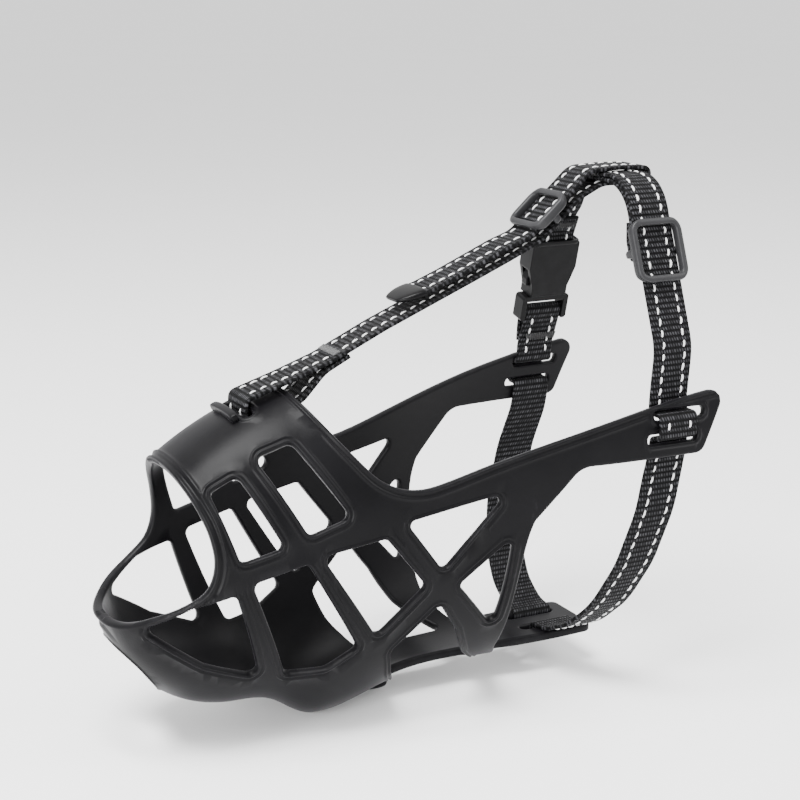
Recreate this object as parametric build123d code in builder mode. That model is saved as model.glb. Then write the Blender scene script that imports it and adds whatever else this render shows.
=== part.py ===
from build123d import *
from math import cos, exp, pi, radians, sin, sqrt
import os

# Basket muzzle for a dog: one soft moulded basket, a neck strap in two
# lengths of webbing joined by a side-release buckle, and a forehead strap.
# Sizes are in millimetres. Every outline is given from the nose lip: x runs
# back from the lip's foremost point, y to the dog's right, z up.

# ------------------------------------------------------------ driving sizes
LIP_FRONT = 104.0       # the lip stands this far in front of the origin
LIP_UP = 46.94          # and this far above the surface the chin stands on

NOSE_Z = 8.0            # height of the basket's foremost pole
SIDE_ROUND = 32.0       # length over which the sides round off
SIDE_BULGE = 28.0       # half width gained in that length
SIDE_FLARE = 0.105      # half width gained per mm from front to rear
ARM_BULGE = 2.7         # extra half width where the arms begin
ARM_BULGE_X = 160.0
ARM_BULGE_REACH = 50.0
TOP_ROUND = 60.0
TOP_BULGE = 39.65
TOP_FLARE = 0.282
CHIN_ROUND = 42.0
CHIN_BULGE = 44.5
CHIN_DIP = 10.0         # the chin's deepest point lies this much lower
CHIN_DIP_X = 70.0
CHIN_DIP_FRONT = 12.0
CHIN_DIP_REAR = 24.0
SQUARENESS = 2.4        # exponent of the super-ellipse sections
SKIN = 2.6              # wall, taken inwards in each section
SKIN_SHIFT = 1.5        # and backwards along the length
SECTION_POINTS = 20
STATIONS = (0.2, 1, 2.5, 5, 9, 15, 24, 36, 50, 60, 70, 80, 95, 115, 140, 165, 190, 214)

STRIP_HALF = 10.0       # bottom strip from the knob to the tab
TAB_LENGTH = 36.0
TAB_WIDTH = 25.5
TAB_THICK = 3.2
TAB_Z = -33.8           # middle of the tab's thickness

WEB_WIDTH = 15.0        # all webbing
WEB_THICK = 1.4
SLOT_LENGTH = 19.5      # slots for the webbing
SLOT_HEIGHT = 3.4
UPPER_SLOT = (190.2, 53.4)
LOWER_SLOT = (187.4, 45.4)
BRIDGE_SLOT_X = 50.3
TAB_SLOT_Y = 5.4
TAB_SLOT_X = 165.0

SLIDER_WIDTH = 20.6
SLIDER_RAIL = 2.3
SLIDER_THICK = 5.2
NECK_SLIDER_LENGTH = 22.0
HEAD_SLIDER_LENGTH = 17.0
BAR = 2.2

BUCKLE_X = 190.0
BUCKLE_BOTTOM = (41.9, 72.0)     # y, z of the plug's end
BUCKLE_TOP = (34.2, 101.0)       # y, z of the socket's end


# ------------------------------------------------------------------- frames
def place(x, y, z):
    """A point given from the nose lip, in the part's own frame."""
    return Vector(x - LIP_FRONT, y, z + LIP_UP)


def side_plane(y=0.0):
    """Side view: local x runs back, local y up."""
    return Plane(origin=place(0, y, 0), x_dir=(1, 0, 0), z_dir=(0, -1, 0))


def cross_plane(x=0.0):
    """View from behind: local x is the part's Y, local y is up."""
    return Plane(origin=place(x, 0, 0), x_dir=(0, 1, 0), z_dir=(1, 0, 0))


def plan_plane(z=0.0):
    """Seen from above: local x runs back, local y is the part's Y."""
    return Plane(origin=place(0, 0, z), x_dir=(1, 0, 0), z_dir=(0, 0, 1))


# ---------------------------------------------------------- basket's surface
def rounding(x, length):
    """Quarter-circle run-out from 0 at the lip to 1 at the given length."""
    rest = 1 - min(x, length) / length
    return sqrt(1 - rest * rest)


def half_width(x):
    reach = max(-1.0, min(1.0, (x - ARM_BULGE_X) / ARM_BULGE_REACH))
    bulge = ARM_BULGE * cos(pi / 2 * reach) ** 2
    return SIDE_BULGE * rounding(x, SIDE_ROUND) + SIDE_FLARE * x + bulge


def top_of(x):
    return NOSE_Z + TOP_BULGE * rounding(x, TOP_ROUND) + TOP_FLARE * x


def bottom_of(x):
    reach = CHIN_DIP_FRONT if x < CHIN_DIP_X else CHIN_DIP_REAR
    dip = CHIN_DIP * exp(-(((x - CHIN_DIP_X) / reach) ** 2))
    return NOSE_Z - CHIN_BULGE * rounding(x, CHIN_ROUND) - dip


def signed_power(value, power):
    return abs(value) ** power * (1 if value >= 0 else -1)


def section_points(x, inset):
    """One closed super-ellipse section, counter-clockwise from the +Y side."""
    half = half_width(x) - inset
    middle = (top_of(x) + bottom_of(x)) / 2
    tall = (top_of(x) - bottom_of(x)) / 2 - inset
    points = []
    for step in range(SECTION_POINTS):
        angle = 2 * pi * step / SECTION_POINTS
        across = half * signed_power(cos(angle), 2 / SQUARENESS)
        up = middle + tall * signed_power(sin(angle), 2 / SQUARENESS)
        points.append((across, up))
    return points


def basket_solid(inset, shift):
    """Solid of the basket's outer form, or of its hollow with an inset."""
    with BuildPart() as form:
        for x in STATIONS:
            with BuildSketch(cross_plane(x + shift)):
                with BuildLine():
                    Spline(*section_points(x, inset), periodic=True)
                make_face()
        loft()
    return form.part


# -------------------------------------------------------- outlines, side view
# Each window: its corners (x, z) and the radius of each corner.
WINDOWS = {
    "cheek": ([(8.0, -1.5), (22.0, 6.0), (36.0, 9.2), (44.8, -21.8), (26.0, -14.2)], 2.2),
    "front_slot": ([(30.8, 41.2), (39.8, 45.6), (52.0, 22.6), (37.8, 19.2)], 2.0),
    "rear_slot": ([(46.2, 50.4), (58.6, 54.2), (74.2, 30.0), (60.2, 25.4)], 2.4),
    "jaw": ([(41.2, 12.0), (59.4, 16.4), (76.8, -15.2), (66.0, -21.6), (53.6, -22.6)], 2.2),
    "diamond": ([(64.2, 18.2), (85.8, 21.6), (99.6, 3.6), (83.2, -12.4)], 2.2),
    "valley": ([(92.6, 26.2), (127.6, 32.6), (105.4, 8.2)], 1.8),
    "arm_root": ([(111.2, 2.4), (129.6, 17.4), (126.0, -16.0)], 1.8),
    "throat": ([(105.2, -3.8), (112.6, -15.0), (122.0, -33.0), (93.6, -33.0), (89.2, -19.0)], 1.4),
}
NOSE_OPENING = [
    (-10.0, -0.6), (1.5, -1.6), (11.5, 3.0), (20.6, 7.4), (26.8, 12.0),
    (29.4, 19.5), (28.6, 28.5), (26.0, 37.0), (22.6, 46.0), (19.0, 58.0),
]
REAR_EDGE = [
    (64.6, 67.5), (71.2, 56.9), (78.6, 47.4), (84.6, 41.0), (91.6, 37.4), (99.0, 36.5), (107.4, 38.0),
]
ARM_TOP = [(107.4, 38.0), (125.0, 43.0), (146.0, 48.6), (168.0, 53.8), (190.0, 58.2), (209.6, 61.2)]
ARM_TIP_BOTTOM = (199.6, 38.8)
ARM_ROOT = (153.0, 38.8)
V_REAR = [(137.0, 22.0), (132.6, 4.0), (131.4, -16.0), (131.6, -26.0), (135.0, -32.0), (142.0, -39.0)]
# Opening under the basket, seen from above, on one side of the strip.
UNDER_OPENING = [
    (99.5, STRIP_HALF), (96.0, 20.0), (91.0, 33.0), (89.0, 45.0),
    (110.0, 45.0), (112.0, 36.3), (118.0, 30.0), (125.0, 20.0), (131.5, STRIP_HALF),
]
CHIN_HOLE_CENTRE = (9.8, -20.4)
CHIN_HOLE_AXIS = (-0.838, -0.545)
CHIN_HOLE_RADII = (12.4, 11.4)
REACH = 70.0            # side-view cutters run from +REACH to -REACH in y
KNOB = (97.2, 11.6, 12.0, -44.6, -36.5)      # x, length, width, bottom, top


def silhouette():
    """Face in the side plane that holds everything but the strip and the tab."""
    with BuildSketch(side_plane(REACH)) as face:
        with BuildLine():
            Polyline((142.0, -39.0), (142.0, -60.0), (-6.0, -60.0), (-6.0, 90.0), (64.6, 90.0), REAR_EDGE[0])
            Spline(*REAR_EDGE, tangents=[(0.5, -1.0), (1.0, 0.25)])
            Spline(*ARM_TOP, tangents=[(1.0, 0.25), (1.0, 0.14)])
            Polyline(ARM_TOP[-1], ARM_TIP_BOTTOM, ARM_ROOT, V_REAR[0])
            Spline(*V_REAR, tangents=[(-0.2, -1.0), (1.0, -0.9)])
        make_face()
        fillet(face.vertices().filter_by_position(Axis.X, 195, 215), radius=4.0)
        fillet(face.vertices().sort_by_distance(ARM_ROOT)[0], radius=9.0)
    return face.sketch


def across(face):
    """Prism of a side-view face, right across the part."""
    with BuildPart() as prism:
        add(face)
        extrude(amount=2 * REACH, dir=(0, -1, 0))
    return prism.part


def window_prism(corners, radius):
    with BuildSketch(side_plane(REACH)) as face:
        with BuildLine():
            Polyline(*corners, close=True)
        make_face()
        fillet(face.vertices(), radius=radius)
    return across(face.sketch)


def slot_prism(centre):
    with BuildSketch(side_plane(REACH)) as face:
        with Locations(centre):
            RectangleRounded(SLOT_LENGTH, SLOT_HEIGHT, 1.0)
    return across(face.sketch)


def nose_prism():
    with BuildSketch(side_plane(REACH)) as face:
        with BuildLine():
            Spline(*NOSE_OPENING)
            Polyline(NOSE_OPENING[-1], (-10.0, 58.0), NOSE_OPENING[0])
        make_face()
    return across(face.sketch)


def under_prism():
    """The two openings beside the bottom strip."""
    with BuildPart() as prism:
        with BuildSketch(plan_plane(-62.0)):
            with BuildLine():
                Polyline(*UNDER_OPENING, close=True)
            make_face()
            mirror(about=Plane.XZ)
        extrude(amount=33.0)
    return prism.part


def chin_hole_prism():
    x, z = CHIN_HOLE_CENTRE
    ax, az = CHIN_HOLE_AXIS
    plane = Plane(origin=place(x, 0, z), x_dir=(0, 1, 0), z_dir=(ax, 0, az))
    with BuildPart() as prism:
        with BuildSketch(plane):
            Ellipse(*CHIN_HOLE_RADII)
        extrude(amount=12.0, both=True)
    return prism.part


def strip_prism():
    """Keeps the bottom strip between the chin and the tab."""
    with BuildPart() as prism:
        with BuildSketch(plan_plane(-60.0)):
            with Locations((124.0, 0)):
                Rectangle(58.0, 2 * STRIP_HALF)
        extrude(amount=40.0)
    return prism.part


def bridge_slot_prism():
    with BuildPart() as prism:
        with BuildSketch(plan_plane(50.0)):
            with Locations((BRIDGE_SLOT_X, 0)):
                SlotOverall(SLOT_LENGTH, SLOT_HEIGHT, rotation=90)
        extrude(amount=30.0)
    return prism.part


def tab_solid():
    """Flat tab under the throat, with the two slots of the neck strap."""
    with BuildPart() as tab:
        with BuildSketch(plan_plane(TAB_Z)):
            with Locations((TAB_SLOT_X - 2.0, 0)):
                RectangleRounded(TAB_LENGTH, TAB_WIDTH, 3.5)
            with Locations((TAB_SLOT_X, TAB_SLOT_Y), (TAB_SLOT_X, -TAB_SLOT_Y)):
                SlotOverall(SLOT_LENGTH, SLOT_HEIGHT, mode=Mode.SUBTRACT)
        extrude(amount=TAB_THICK / 2, both=True)
    return tab.part


def knob_solid():
    x, length, width, low, high = KNOB
    with BuildPart() as knob:
        with BuildSketch(plan_plane(low)):
            with Locations((x, 0)):
                RectangleRounded(length, width, 3.0)
        extrude(amount=high - low)
        fillet(knob.faces().sort_by(Axis.Z)[0].edges(), radius=1.4)
    return knob.part


wall_outer = basket_solid(0.0, 0.0)
wall_inner = basket_solid(SKIN, SKIN_SHIFT)
outline_prism = across(silhouette())
cutters = [window_prism(corners, radius) for corners, radius in WINDOWS.values()]
cutters += [slot_prism(UPPER_SLOT), slot_prism(LOWER_SLOT)]
cutters += [nose_prism(), under_prism(), chin_hole_prism(), bridge_slot_prism()]
strip_keeper = strip_prism()
tab = tab_solid()
knob = knob_solid()

with BuildPart() as strip:
    add(wall_outer)
    add(wall_inner, mode=Mode.SUBTRACT)
    add(strip_keeper, mode=Mode.INTERSECT)

with BuildPart() as basket_shell:
    add(wall_outer)
    add(wall_inner, mode=Mode.SUBTRACT)
    add(outline_prism, mode=Mode.INTERSECT)
    for cutter in cutters:
        add(cutter, mode=Mode.SUBTRACT)
    add(strip.part)
    add(tab)
    add(knob)


# ------------------------------------------------------------------ webbing
PLY = WEB_THICK + 0.15          # two layers of webbing, centre to centre
RUN_LOW = Vector(41.4, 75.0)    # straight run of the neck strap: |y|, z
RUN_HIGH = Vector(25.8, 116.0)
RUN_UP = (RUN_HIGH - RUN_LOW).normalized()
RUN_OUT = Vector(RUN_UP.Y, -RUN_UP.X)
CROWN_Z = 128.0
# The neck strap's middle seen from the side, from the tab to the crown.
NECK_LINE = [(163.0, -46.0), (166.0, -36.0), (188.6, 40.0), (188.6, 60.0),
             (190.2, 72.0), (190.2, 120.0), (192.6, 142.0)]

BUCKLE_UP = (Vector(*BUCKLE_TOP) - Vector(*BUCKLE_BOTTOM)).normalized()
BUCKLE_IN = Vector(-BUCKLE_UP.Y, BUCKLE_UP.X)
BUCKLE_MID = (Vector(*BUCKLE_TOP) + Vector(*BUCKLE_BOTTOM)) * 0.5
BUCKLE_PIN = 1.1                # radius of the two pins that hold the webbing
PIN_TURN = BUCKLE_PIN + 0.1 + WEB_THICK / 2
PLUG_PIN_V = -13.2
SOCKET_PIN_V = 11.0

SLIDER_CENTRE_Z = 105.5         # neck slider, at the run
SLIDER_PIN = 1.0
SLIDER_TURN = SLIDER_PIN + 0.1 + WEB_THICK / 2
SLIDER_PIN_OUT = -(PLY + SLIDER_TURN)

HEAD_SLIDER_AT = (163.5, 117.0)     # x, z of the upper layer at the slider
HEAD_SLIDER_RISE = radians(42.0)
HEAD_PIN_DOWN = WEB_THICK / 2 + 0.25 + SLIDER_PIN
HEAD_LAYER_GAP = 2 * HEAD_PIN_DOWN


def buckle_point(v, t):
    """|y|, z of a point at height v and depth t in the buckle."""
    point = BUCKLE_MID + BUCKLE_UP * v + BUCKLE_IN * t
    return (point.X, point.Y)


def run_point(start, up, out):
    point = start + RUN_UP * up + RUN_OUT * out
    return (point.X, point.Y)


def run_at(z, out):
    """Point of the straight run at height z, moved outwards."""
    start = RUN_LOW + RUN_UP * ((z - RUN_LOW.Y) / RUN_UP.Y)
    return run_point(start, 0, out)


def near(points):
    """The same |y|, z points on the near side."""
    return [(-y, z) for y, z in points]


def web_layer(plane, points, radii, depth):
    """Webbing on edge: its centre line given the webbing's thickness."""
    with BuildPart() as layer:
        with BuildSketch(plane):
            with BuildLine():
                FilletPolyline(*points, radius=radii)
            trace(line_width=WEB_THICK)
        extrude(amount=depth)
    return layer.part


def neck_band():
    """Everything within the webbing's width of NECK_LINE."""
    with BuildPart() as band:
        with BuildSketch(side_plane(REACH)):
            with BuildLine():
                Polyline(*NECK_LINE)
            trace(line_width=WEB_WIDTH)
        extrude(amount=2 * REACH)
    return band.part


SLIDER_MID = Vector(*run_at(SLIDER_CENTRE_Z, PLY))      # on the throat strap's line
SLIDER_PIN_AT = Vector(*run_point(SLIDER_MID, 0, SLIDER_PIN_OUT))

LADDER_OUT = 49.6               # |y| of the webbing outside the arm
LADDER_IN_LOW = 44.5
LADDER_IN_HIGH = 43.1
TAB_OVER = TAB_Z + TAB_THICK / 2 + 1.2
TAB_UNDER = TAB_Z - TAB_THICK / 2 - 0.9
ladder = [(LADDER_IN_HIGH, 53.4), (LADDER_OUT, 53.4), (LADDER_OUT, 45.4), (LADDER_IN_LOW, 45.4)]
throat = [(LADDER_IN_LOW, 34.0), (46.2, 20.0), (43.4, 1.0), (36.0, -15.0), (25.0, -25.6), (13.0, TAB_OVER)]
tab_turn = [(TAB_SLOT_Y, TAB_OVER), (TAB_SLOT_Y, TAB_UNDER)]
throat_radii = [30.0, 30.0, 30.0, 30.0, 20.0, 14.0]
plug_loop = [
    (44.3, 62.0), (44.6, 69.0), buckle_point(PLUG_PIN_V + PIN_TURN, -PIN_TURN),
    buckle_point(PLUG_PIN_V + PIN_TURN, PIN_TURN), buckle_point(PLUG_PIN_V - 7.0, PIN_TURN), (43.1, 60.5),
]
tail_up = [(LADDER_IN_HIGH, 62.0), run_at(RUN_LOW.Y, PLY), (run_at(CROWN_Z + PLY, PLY)), (3.0, CROWN_Z + PLY)]
half_down = ladder + throat + tab_turn
throat_points = plug_loop + half_down + near(half_down[::-1]) + near(tail_up)
half_radii = [1.6, 1.6, 1.6, 1.6] + throat_radii + [1.6, 1.6]
throat_path_radii = [6.0, 1.85, 1.85, 8.0, 8.0] + half_radii + half_radii[::-1] + [30.0, 24.0, 16.0 + PLY]
throat_layer = web_layer(cross_plane(140.0), throat_points, throat_path_radii, 75.0)
band = neck_band()

with BuildPart() as throat_strap:
    add(band)
    add(throat_layer, mode=Mode.INTERSECT)

slider_loop = [
    run_point(SLIDER_MID, 11.0, -PLY - 1.62), run_point(SLIDER_PIN_AT, 5.0, -SLIDER_TURN),
    run_point(SLIDER_PIN_AT, -SLIDER_TURN, -SLIDER_TURN), run_point(SLIDER_PIN_AT, -SLIDER_TURN, SLIDER_TURN),
]
crown_corner = run_at(CROWN_Z, 0)
socket_loop = [
    buckle_point(SOCKET_PIN_V + 8.0, -PIN_TURN), buckle_point(SOCKET_PIN_V - PIN_TURN, -PIN_TURN),
    buckle_point(SOCKET_PIN_V - PIN_TURN, PIN_TURN), buckle_point(SOCKET_PIN_V + 7.0, PIN_TURN), (28.3, 110.0),
]
crown_points = near(slider_loop + [crown_corner]) + [crown_corner, run_at(115.0, 0)] + socket_loop
crown_radii = [4.0, 1.75, 1.75, 16.0, 16.0, 12.0, 8.0, 1.85, 1.85, 6.0]
crown_layer = web_layer(cross_plane(140.0), crown_points, crown_radii, 75.0)

with BuildPart() as crown_strap:
    add(band)
    add(crown_layer, mode=Mode.INTERSECT)


def head_point(s, n):
    """x, z of a point s along the forehead slider and n above its upper layer."""
    x = HEAD_SLIDER_AT[0] + s * cos(HEAD_SLIDER_RISE) - n * sin(HEAD_SLIDER_RISE)
    return (x, HEAD_SLIDER_AT[1] + s * sin(HEAD_SLIDER_RISE) + n * cos(HEAD_SLIDER_RISE))


LOOP_REAR = 203.4               # rear fold of the loop round the crown strap
LOOP_TOP = CROWN_Z + 2 * PLY + 0.2
LOOP_UNDER = CROWN_Z - PLY
TAIL_END = (112.6, 93.4)
head_points = [
    (87.0, 75.5), (78.0, 71.0), (70.0, 62.5), (BRIDGE_SLOT_X, 55.4), (BRIDGE_SLOT_X, 64.6), (66.0, 69.4),
    (80.0, 74.2), (99.7, 83.3), (117.0, 90.4), (134.6, 97.6), (147.5, 103.0),
    head_point(-8.3, -HEAD_LAYER_GAP), head_point(12.0, -HEAD_LAYER_GAP), (184.0, LOOP_UNDER),
    (LOOP_REAR, LOOP_UNDER), (LOOP_REAR, LOOP_TOP), head_point(21.2, 0), head_point(-10.4, 0),
    (147.0, 107.0), (127.0, 98.4), (118.0, 94.9), TAIL_END,
]
head_radii = [12.0, 8.0, 2.0, 2.4, 30.0, 30.0, 60.0, 60.0, 60.0, 30.0,
              14.0, 14.0, 12.0, 2.3, 2.3, 8.0, 12.0, 20.0, 20.0, 12.0]

with BuildPart() as forehead_strap:
    with BuildSketch(side_plane(WEB_WIDTH / 2)):
        with BuildLine():
            FilletPolyline(*head_points, radius=head_radii)
        trace(line_width=WEB_THICK)
    extrude(amount=WEB_WIDTH)

with BuildPart() as tail_tip:
    with BuildSketch(side_plane(8.0)):
        with BuildLine():
            Polyline((112.6 + 0.27, 91.85), (112.6 - 0.41, 94.95), (107.0, 93.3), (103.4, 91.7), (103.6, 90.5), close=True)
        make_face()
    extrude(amount=16.0)


# ------------------------------------------------------------------ hardware
def buckle_plane(t=0.0):
    """Local x is along the part's X, local y up the buckle, normal inwards."""
    y, z = buckle_point(0, t)
    return Plane(origin=place(BUCKLE_X, y, z), x_dir=(1, 0, 0), z_dir=(0, BUCKLE_IN.X, BUCKLE_IN.Y))


def buckle_pin_plane(v, u):
    y, z = buckle_point(v, 0)
    return Plane(origin=place(BUCKLE_X + u, y, z), x_dir=(0, 1, 0), z_dir=(1, 0, 0))


PLUG_HALF = 10.0
PLUG_RAIL = 2.1
MOUTH_V = -6.2
with BuildPart() as buckle_plug:
    with BuildSketch(buckle_plane(-2.9)):
        with Locations((0, -11.4)):
            RectangleRounded(2 * PLUG_HALF, 9.8, 1.2)
        with Locations((0, -12.6)):
            Rectangle(2 * (PLUG_HALF - PLUG_RAIL), 8.2, mode=Mode.SUBTRACT)
    extrude(amount=5.8)
    with BuildSketch(buckle_plane(-1.3)):
        with Locations((0, -2.6)):
            Rectangle(2.4, 8.0)
    extrude(amount=2.6)
    with BuildSketch(buckle_pin_plane(PLUG_PIN_V, -PLUG_HALF + 1.0)):
        Circle(BUCKLE_PIN)
    extrude(amount=2 * PLUG_HALF - 2.0)

socket_outline = [(10.0, 15.6), (10.0, 5.2), (8.6, 0.6), (7.6, -2.4), (7.6, MOUTH_V)]
with BuildPart() as buckle_socket:
    with BuildSketch(buckle_plane(-4.0)):
        with BuildLine():
            Polyline(*socket_outline, *[(-u, v) for u, v in socket_outline[::-1]], close=True)
        make_face()
        fillet(vertices().filter_by_position(Axis.Y, 15, 16), radius=1.0)
    extrude(amount=8.0)
    with BuildSketch(buckle_plane(-2.05)):
        with Locations((0, 0.15)):
            Rectangle(12.6, 14.5)
        with Locations((0, 1.0)):
            Rectangle(24.0, 6.8)
    extrude(amount=4.1, mode=Mode.SUBTRACT)
    with BuildSketch(buckle_plane(-3.0)):
        with Locations((0, 12.4)):
            Rectangle(15.8, 8.8)
    extrude(amount=6.0, mode=Mode.SUBTRACT)
    with BuildSketch(buckle_pin_plane(SOCKET_PIN_V, -8.6)):
        Circle(BUCKLE_PIN)
    extrude(amount=17.2)


def prong(side):
    """One spring arm of the plug: side is 1 at the rear, -1 at the front."""
    arm = [(4.2, -6.45), (6.0, -6.45), (6.0, -2.1), (9.2, -2.1), (9.4, 0.6),
           (8.4, 3.2), (6.0, 4.2), (5.4, 6.4), (4.2, 6.4)]
    with BuildPart() as arm_part:
        with BuildSketch(buckle_plane(-1.8)):
            with BuildLine():
                Polyline(*[(side * u, v) for u, v in arm], close=True)
            make_face()
        extrude(amount=3.6)
        fillet(arm_part.faces().sort_by_distance(place(BUCKLE_X + side * 9.4, *buckle_point(0, 0)))[0].edges()
               .filter_by(Axis((0, 0, 0), (0, BUCKLE_IN.X, BUCKLE_IN.Y))), radius=0.6)
    return arm_part.part


prong_front = prong(-1)
prong_rear = prong(1)


def slider(plane, pin_drop, length):
    """Three-bar slider: a frame over the webbing and a pin under it."""
    window = SLIDER_WIDTH - 2 * SLIDER_RAIL
    with BuildPart() as body:
        with BuildSketch(plane.offset(0.9)):
            RectangleRounded(SLIDER_WIDTH, length, 3.0)
            RectangleRounded(window, length - 2 * SLIDER_RAIL, 1.6, mode=Mode.SUBTRACT)
        extrude(amount=1.9)
        with BuildSketch(plane.offset(-0.6)):
            with GridLocations(SLIDER_WIDTH - SLIDER_RAIL, 0, 2, 1):
                Rectangle(SLIDER_RAIL, length - 5.0)
        extrude(amount=2.4)
        with BuildSketch(plane.offset(-pin_drop - SLIDER_PIN)):
            with GridLocations(SLIDER_WIDTH - SLIDER_RAIL, 0, 2, 1):
                Rectangle(SLIDER_RAIL, 4.4)
        extrude(amount=pin_drop + 2.0)
        pin_plane = Plane(origin=plane.origin - plane.z_dir * pin_drop - plane.x_dir * (window / 2 + 0.5),
                          x_dir=plane.y_dir, z_dir=plane.x_dir)
        with BuildSketch(pin_plane):
            Circle(SLIDER_PIN)
        extrude(amount=window + 1.0)
    return body.part


neck_plane = Plane(origin=place(NECK_LINE[4][0], -SLIDER_MID.X, SLIDER_MID.Y), x_dir=(1, 0, 0),
                   z_dir=(0, -RUN_OUT.X, RUN_OUT.Y))
head_plane = Plane(origin=place(HEAD_SLIDER_AT[0], 0, HEAD_SLIDER_AT[1]), x_dir=(0, -1, 0),
                   z_dir=(-sin(HEAD_SLIDER_RISE), 0, cos(HEAD_SLIDER_RISE)))
neck_slider = slider(neck_plane, -SLIDER_PIN_OUT, NECK_SLIDER_LENGTH)
forehead_slider = slider(head_plane, HEAD_PIN_DOWN, HEAD_SLIDER_LENGTH)


def bartack(plane):
    """Dense zigzag of thread that closes a sewn loop."""
    with BuildPart() as tack:
        with BuildSketch(plane):
            RectangleRounded(12.0, 2.6, 0.8)
        extrude(amount=0.7)
    return tack.part


def web_face(point, along, x_dir, lift):
    """Plane on a layer's surface: point in space, direction of the webbing."""
    normal = Vector(*x_dir).cross(Vector(*along)).normalized()
    return Plane(origin=Vector(*point) + normal * lift, x_dir=x_dir, z_dir=normal)


TACK_LIFT = WEB_THICK / 2 + 0.02
bridge_run = Vector(19.7, 0, 9.1)
bridge_bartack = bartack(web_face(place(83.3, 0, 75.72), bridge_run, (0, -1, 0), TACK_LIFT))


def neck_bartack(y, z, along):
    """Bartack on the face of the neck webbing that its normal points from."""
    plane = web_face(place(NECK_LINE[4][0], y, z), (0, *along), (1, 0, 0), TACK_LIFT)
    return bartack(plane)


plug_bartack = neck_bartack(42.2, 63.65, (-1.7, 5.98))
socket_bartack = neck_bartack(29.5, 107.6, (-3.29, 6.59))
slider_bartack = neck_bartack(-24.5, 112.3, (-0.28, -6.31))


parts_list = {
    "basket_shell": basket_shell.part,
    "throat_strap": throat_strap.part,
    "crown_strap": crown_strap.part,
    "forehead_strap": forehead_strap.part,
    "forehead_tail_tip": tail_tip.part,
    "buckle_plug": buckle_plug.part,
    "buckle_socket": buckle_socket.part,
    "plug_prong_front": prong_front,
    "plug_prong_rear": prong_rear,
    "neck_slider": neck_slider,
    "forehead_slider": forehead_slider,
    "bridge_bartack": bridge_bartack,
    "plug_bartack": plug_bartack,
    "socket_bartack": socket_bartack,
    "slider_bartack": slider_bartack,
}
os.makedirs("parts", exist_ok=True)
for name, solid in parts_list.items():
    solid.label = name
    export_step(solid, "parts/" + name + ".step")
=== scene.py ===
from math import cos, pi, radians, sin, sqrt

import bmesh
import bpy
import numpy as np
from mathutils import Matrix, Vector
from mathutils.geometry import delaunay_2d_cdt


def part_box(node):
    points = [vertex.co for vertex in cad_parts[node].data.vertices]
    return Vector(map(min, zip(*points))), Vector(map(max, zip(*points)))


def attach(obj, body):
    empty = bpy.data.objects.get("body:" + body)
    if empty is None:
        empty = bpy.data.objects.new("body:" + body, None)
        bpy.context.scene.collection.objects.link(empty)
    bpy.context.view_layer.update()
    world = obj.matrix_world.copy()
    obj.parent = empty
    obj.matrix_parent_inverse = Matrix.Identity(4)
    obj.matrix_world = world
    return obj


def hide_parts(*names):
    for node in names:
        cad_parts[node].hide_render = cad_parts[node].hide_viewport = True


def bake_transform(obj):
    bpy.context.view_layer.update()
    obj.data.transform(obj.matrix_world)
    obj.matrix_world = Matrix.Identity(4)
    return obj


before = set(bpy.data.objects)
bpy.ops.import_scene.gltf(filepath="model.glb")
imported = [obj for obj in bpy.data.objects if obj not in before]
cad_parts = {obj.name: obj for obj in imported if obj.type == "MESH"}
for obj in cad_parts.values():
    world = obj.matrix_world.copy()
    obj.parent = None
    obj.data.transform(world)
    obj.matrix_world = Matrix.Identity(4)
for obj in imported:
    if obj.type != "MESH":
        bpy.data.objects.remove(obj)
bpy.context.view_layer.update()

MM = 0.001
SHELL_LOW, SHELL_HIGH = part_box("basket_shell")
# The nose lip's foremost point: the measures below are millimetres from it,
# x back towards the neck, y to the dog's right, z up.
LIP_FRONT = 104.0
LIP_UP = 46.94


def place(x, y, z):
    """A point given in millimetres from the nose lip, in the frame's metres."""
    return Vector(((x - LIP_FRONT) * MM, y * MM, (z + LIP_UP) * MM))


# ---------------------------------------------------------------- camera
camera_data = bpy.data.cameras.new("camera")
camera_data.lens = 76.57
camera_data.sensor_width = 36.0
camera = bpy.data.objects.new("camera", camera_data)
bpy.context.scene.collection.objects.link(camera)
camera.location = place(-146.5, -497.5, 197.0)
camera.rotation_mode = "XYZ"
camera.rotation_euler = (radians(90 - 14.087), 0.0, radians(-27.195))
camera_data.clip_start = 0.01
camera_data.clip_end = 20.0
bpy.context.scene.camera = camera


# ---------------------------------------------------------------- node tools
def new_group(name, inputs, outputs):
    """An empty shader node group: inputs are (name, type, default)."""
    group = bpy.data.node_groups.new(name, "ShaderNodeTree")
    for label, kind, value in inputs:
        socket = group.interface.new_socket(label, in_out="INPUT", socket_type="NodeSocket" + kind)
        if value is not None:
            socket.default_value = value
    for label, kind in outputs:
        group.interface.new_socket(label, in_out="OUTPUT", socket_type="NodeSocket" + kind)
    start = group.nodes.new("NodeGroupInput")
    end = group.nodes.new("NodeGroupOutput")
    return group, start, end


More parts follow.
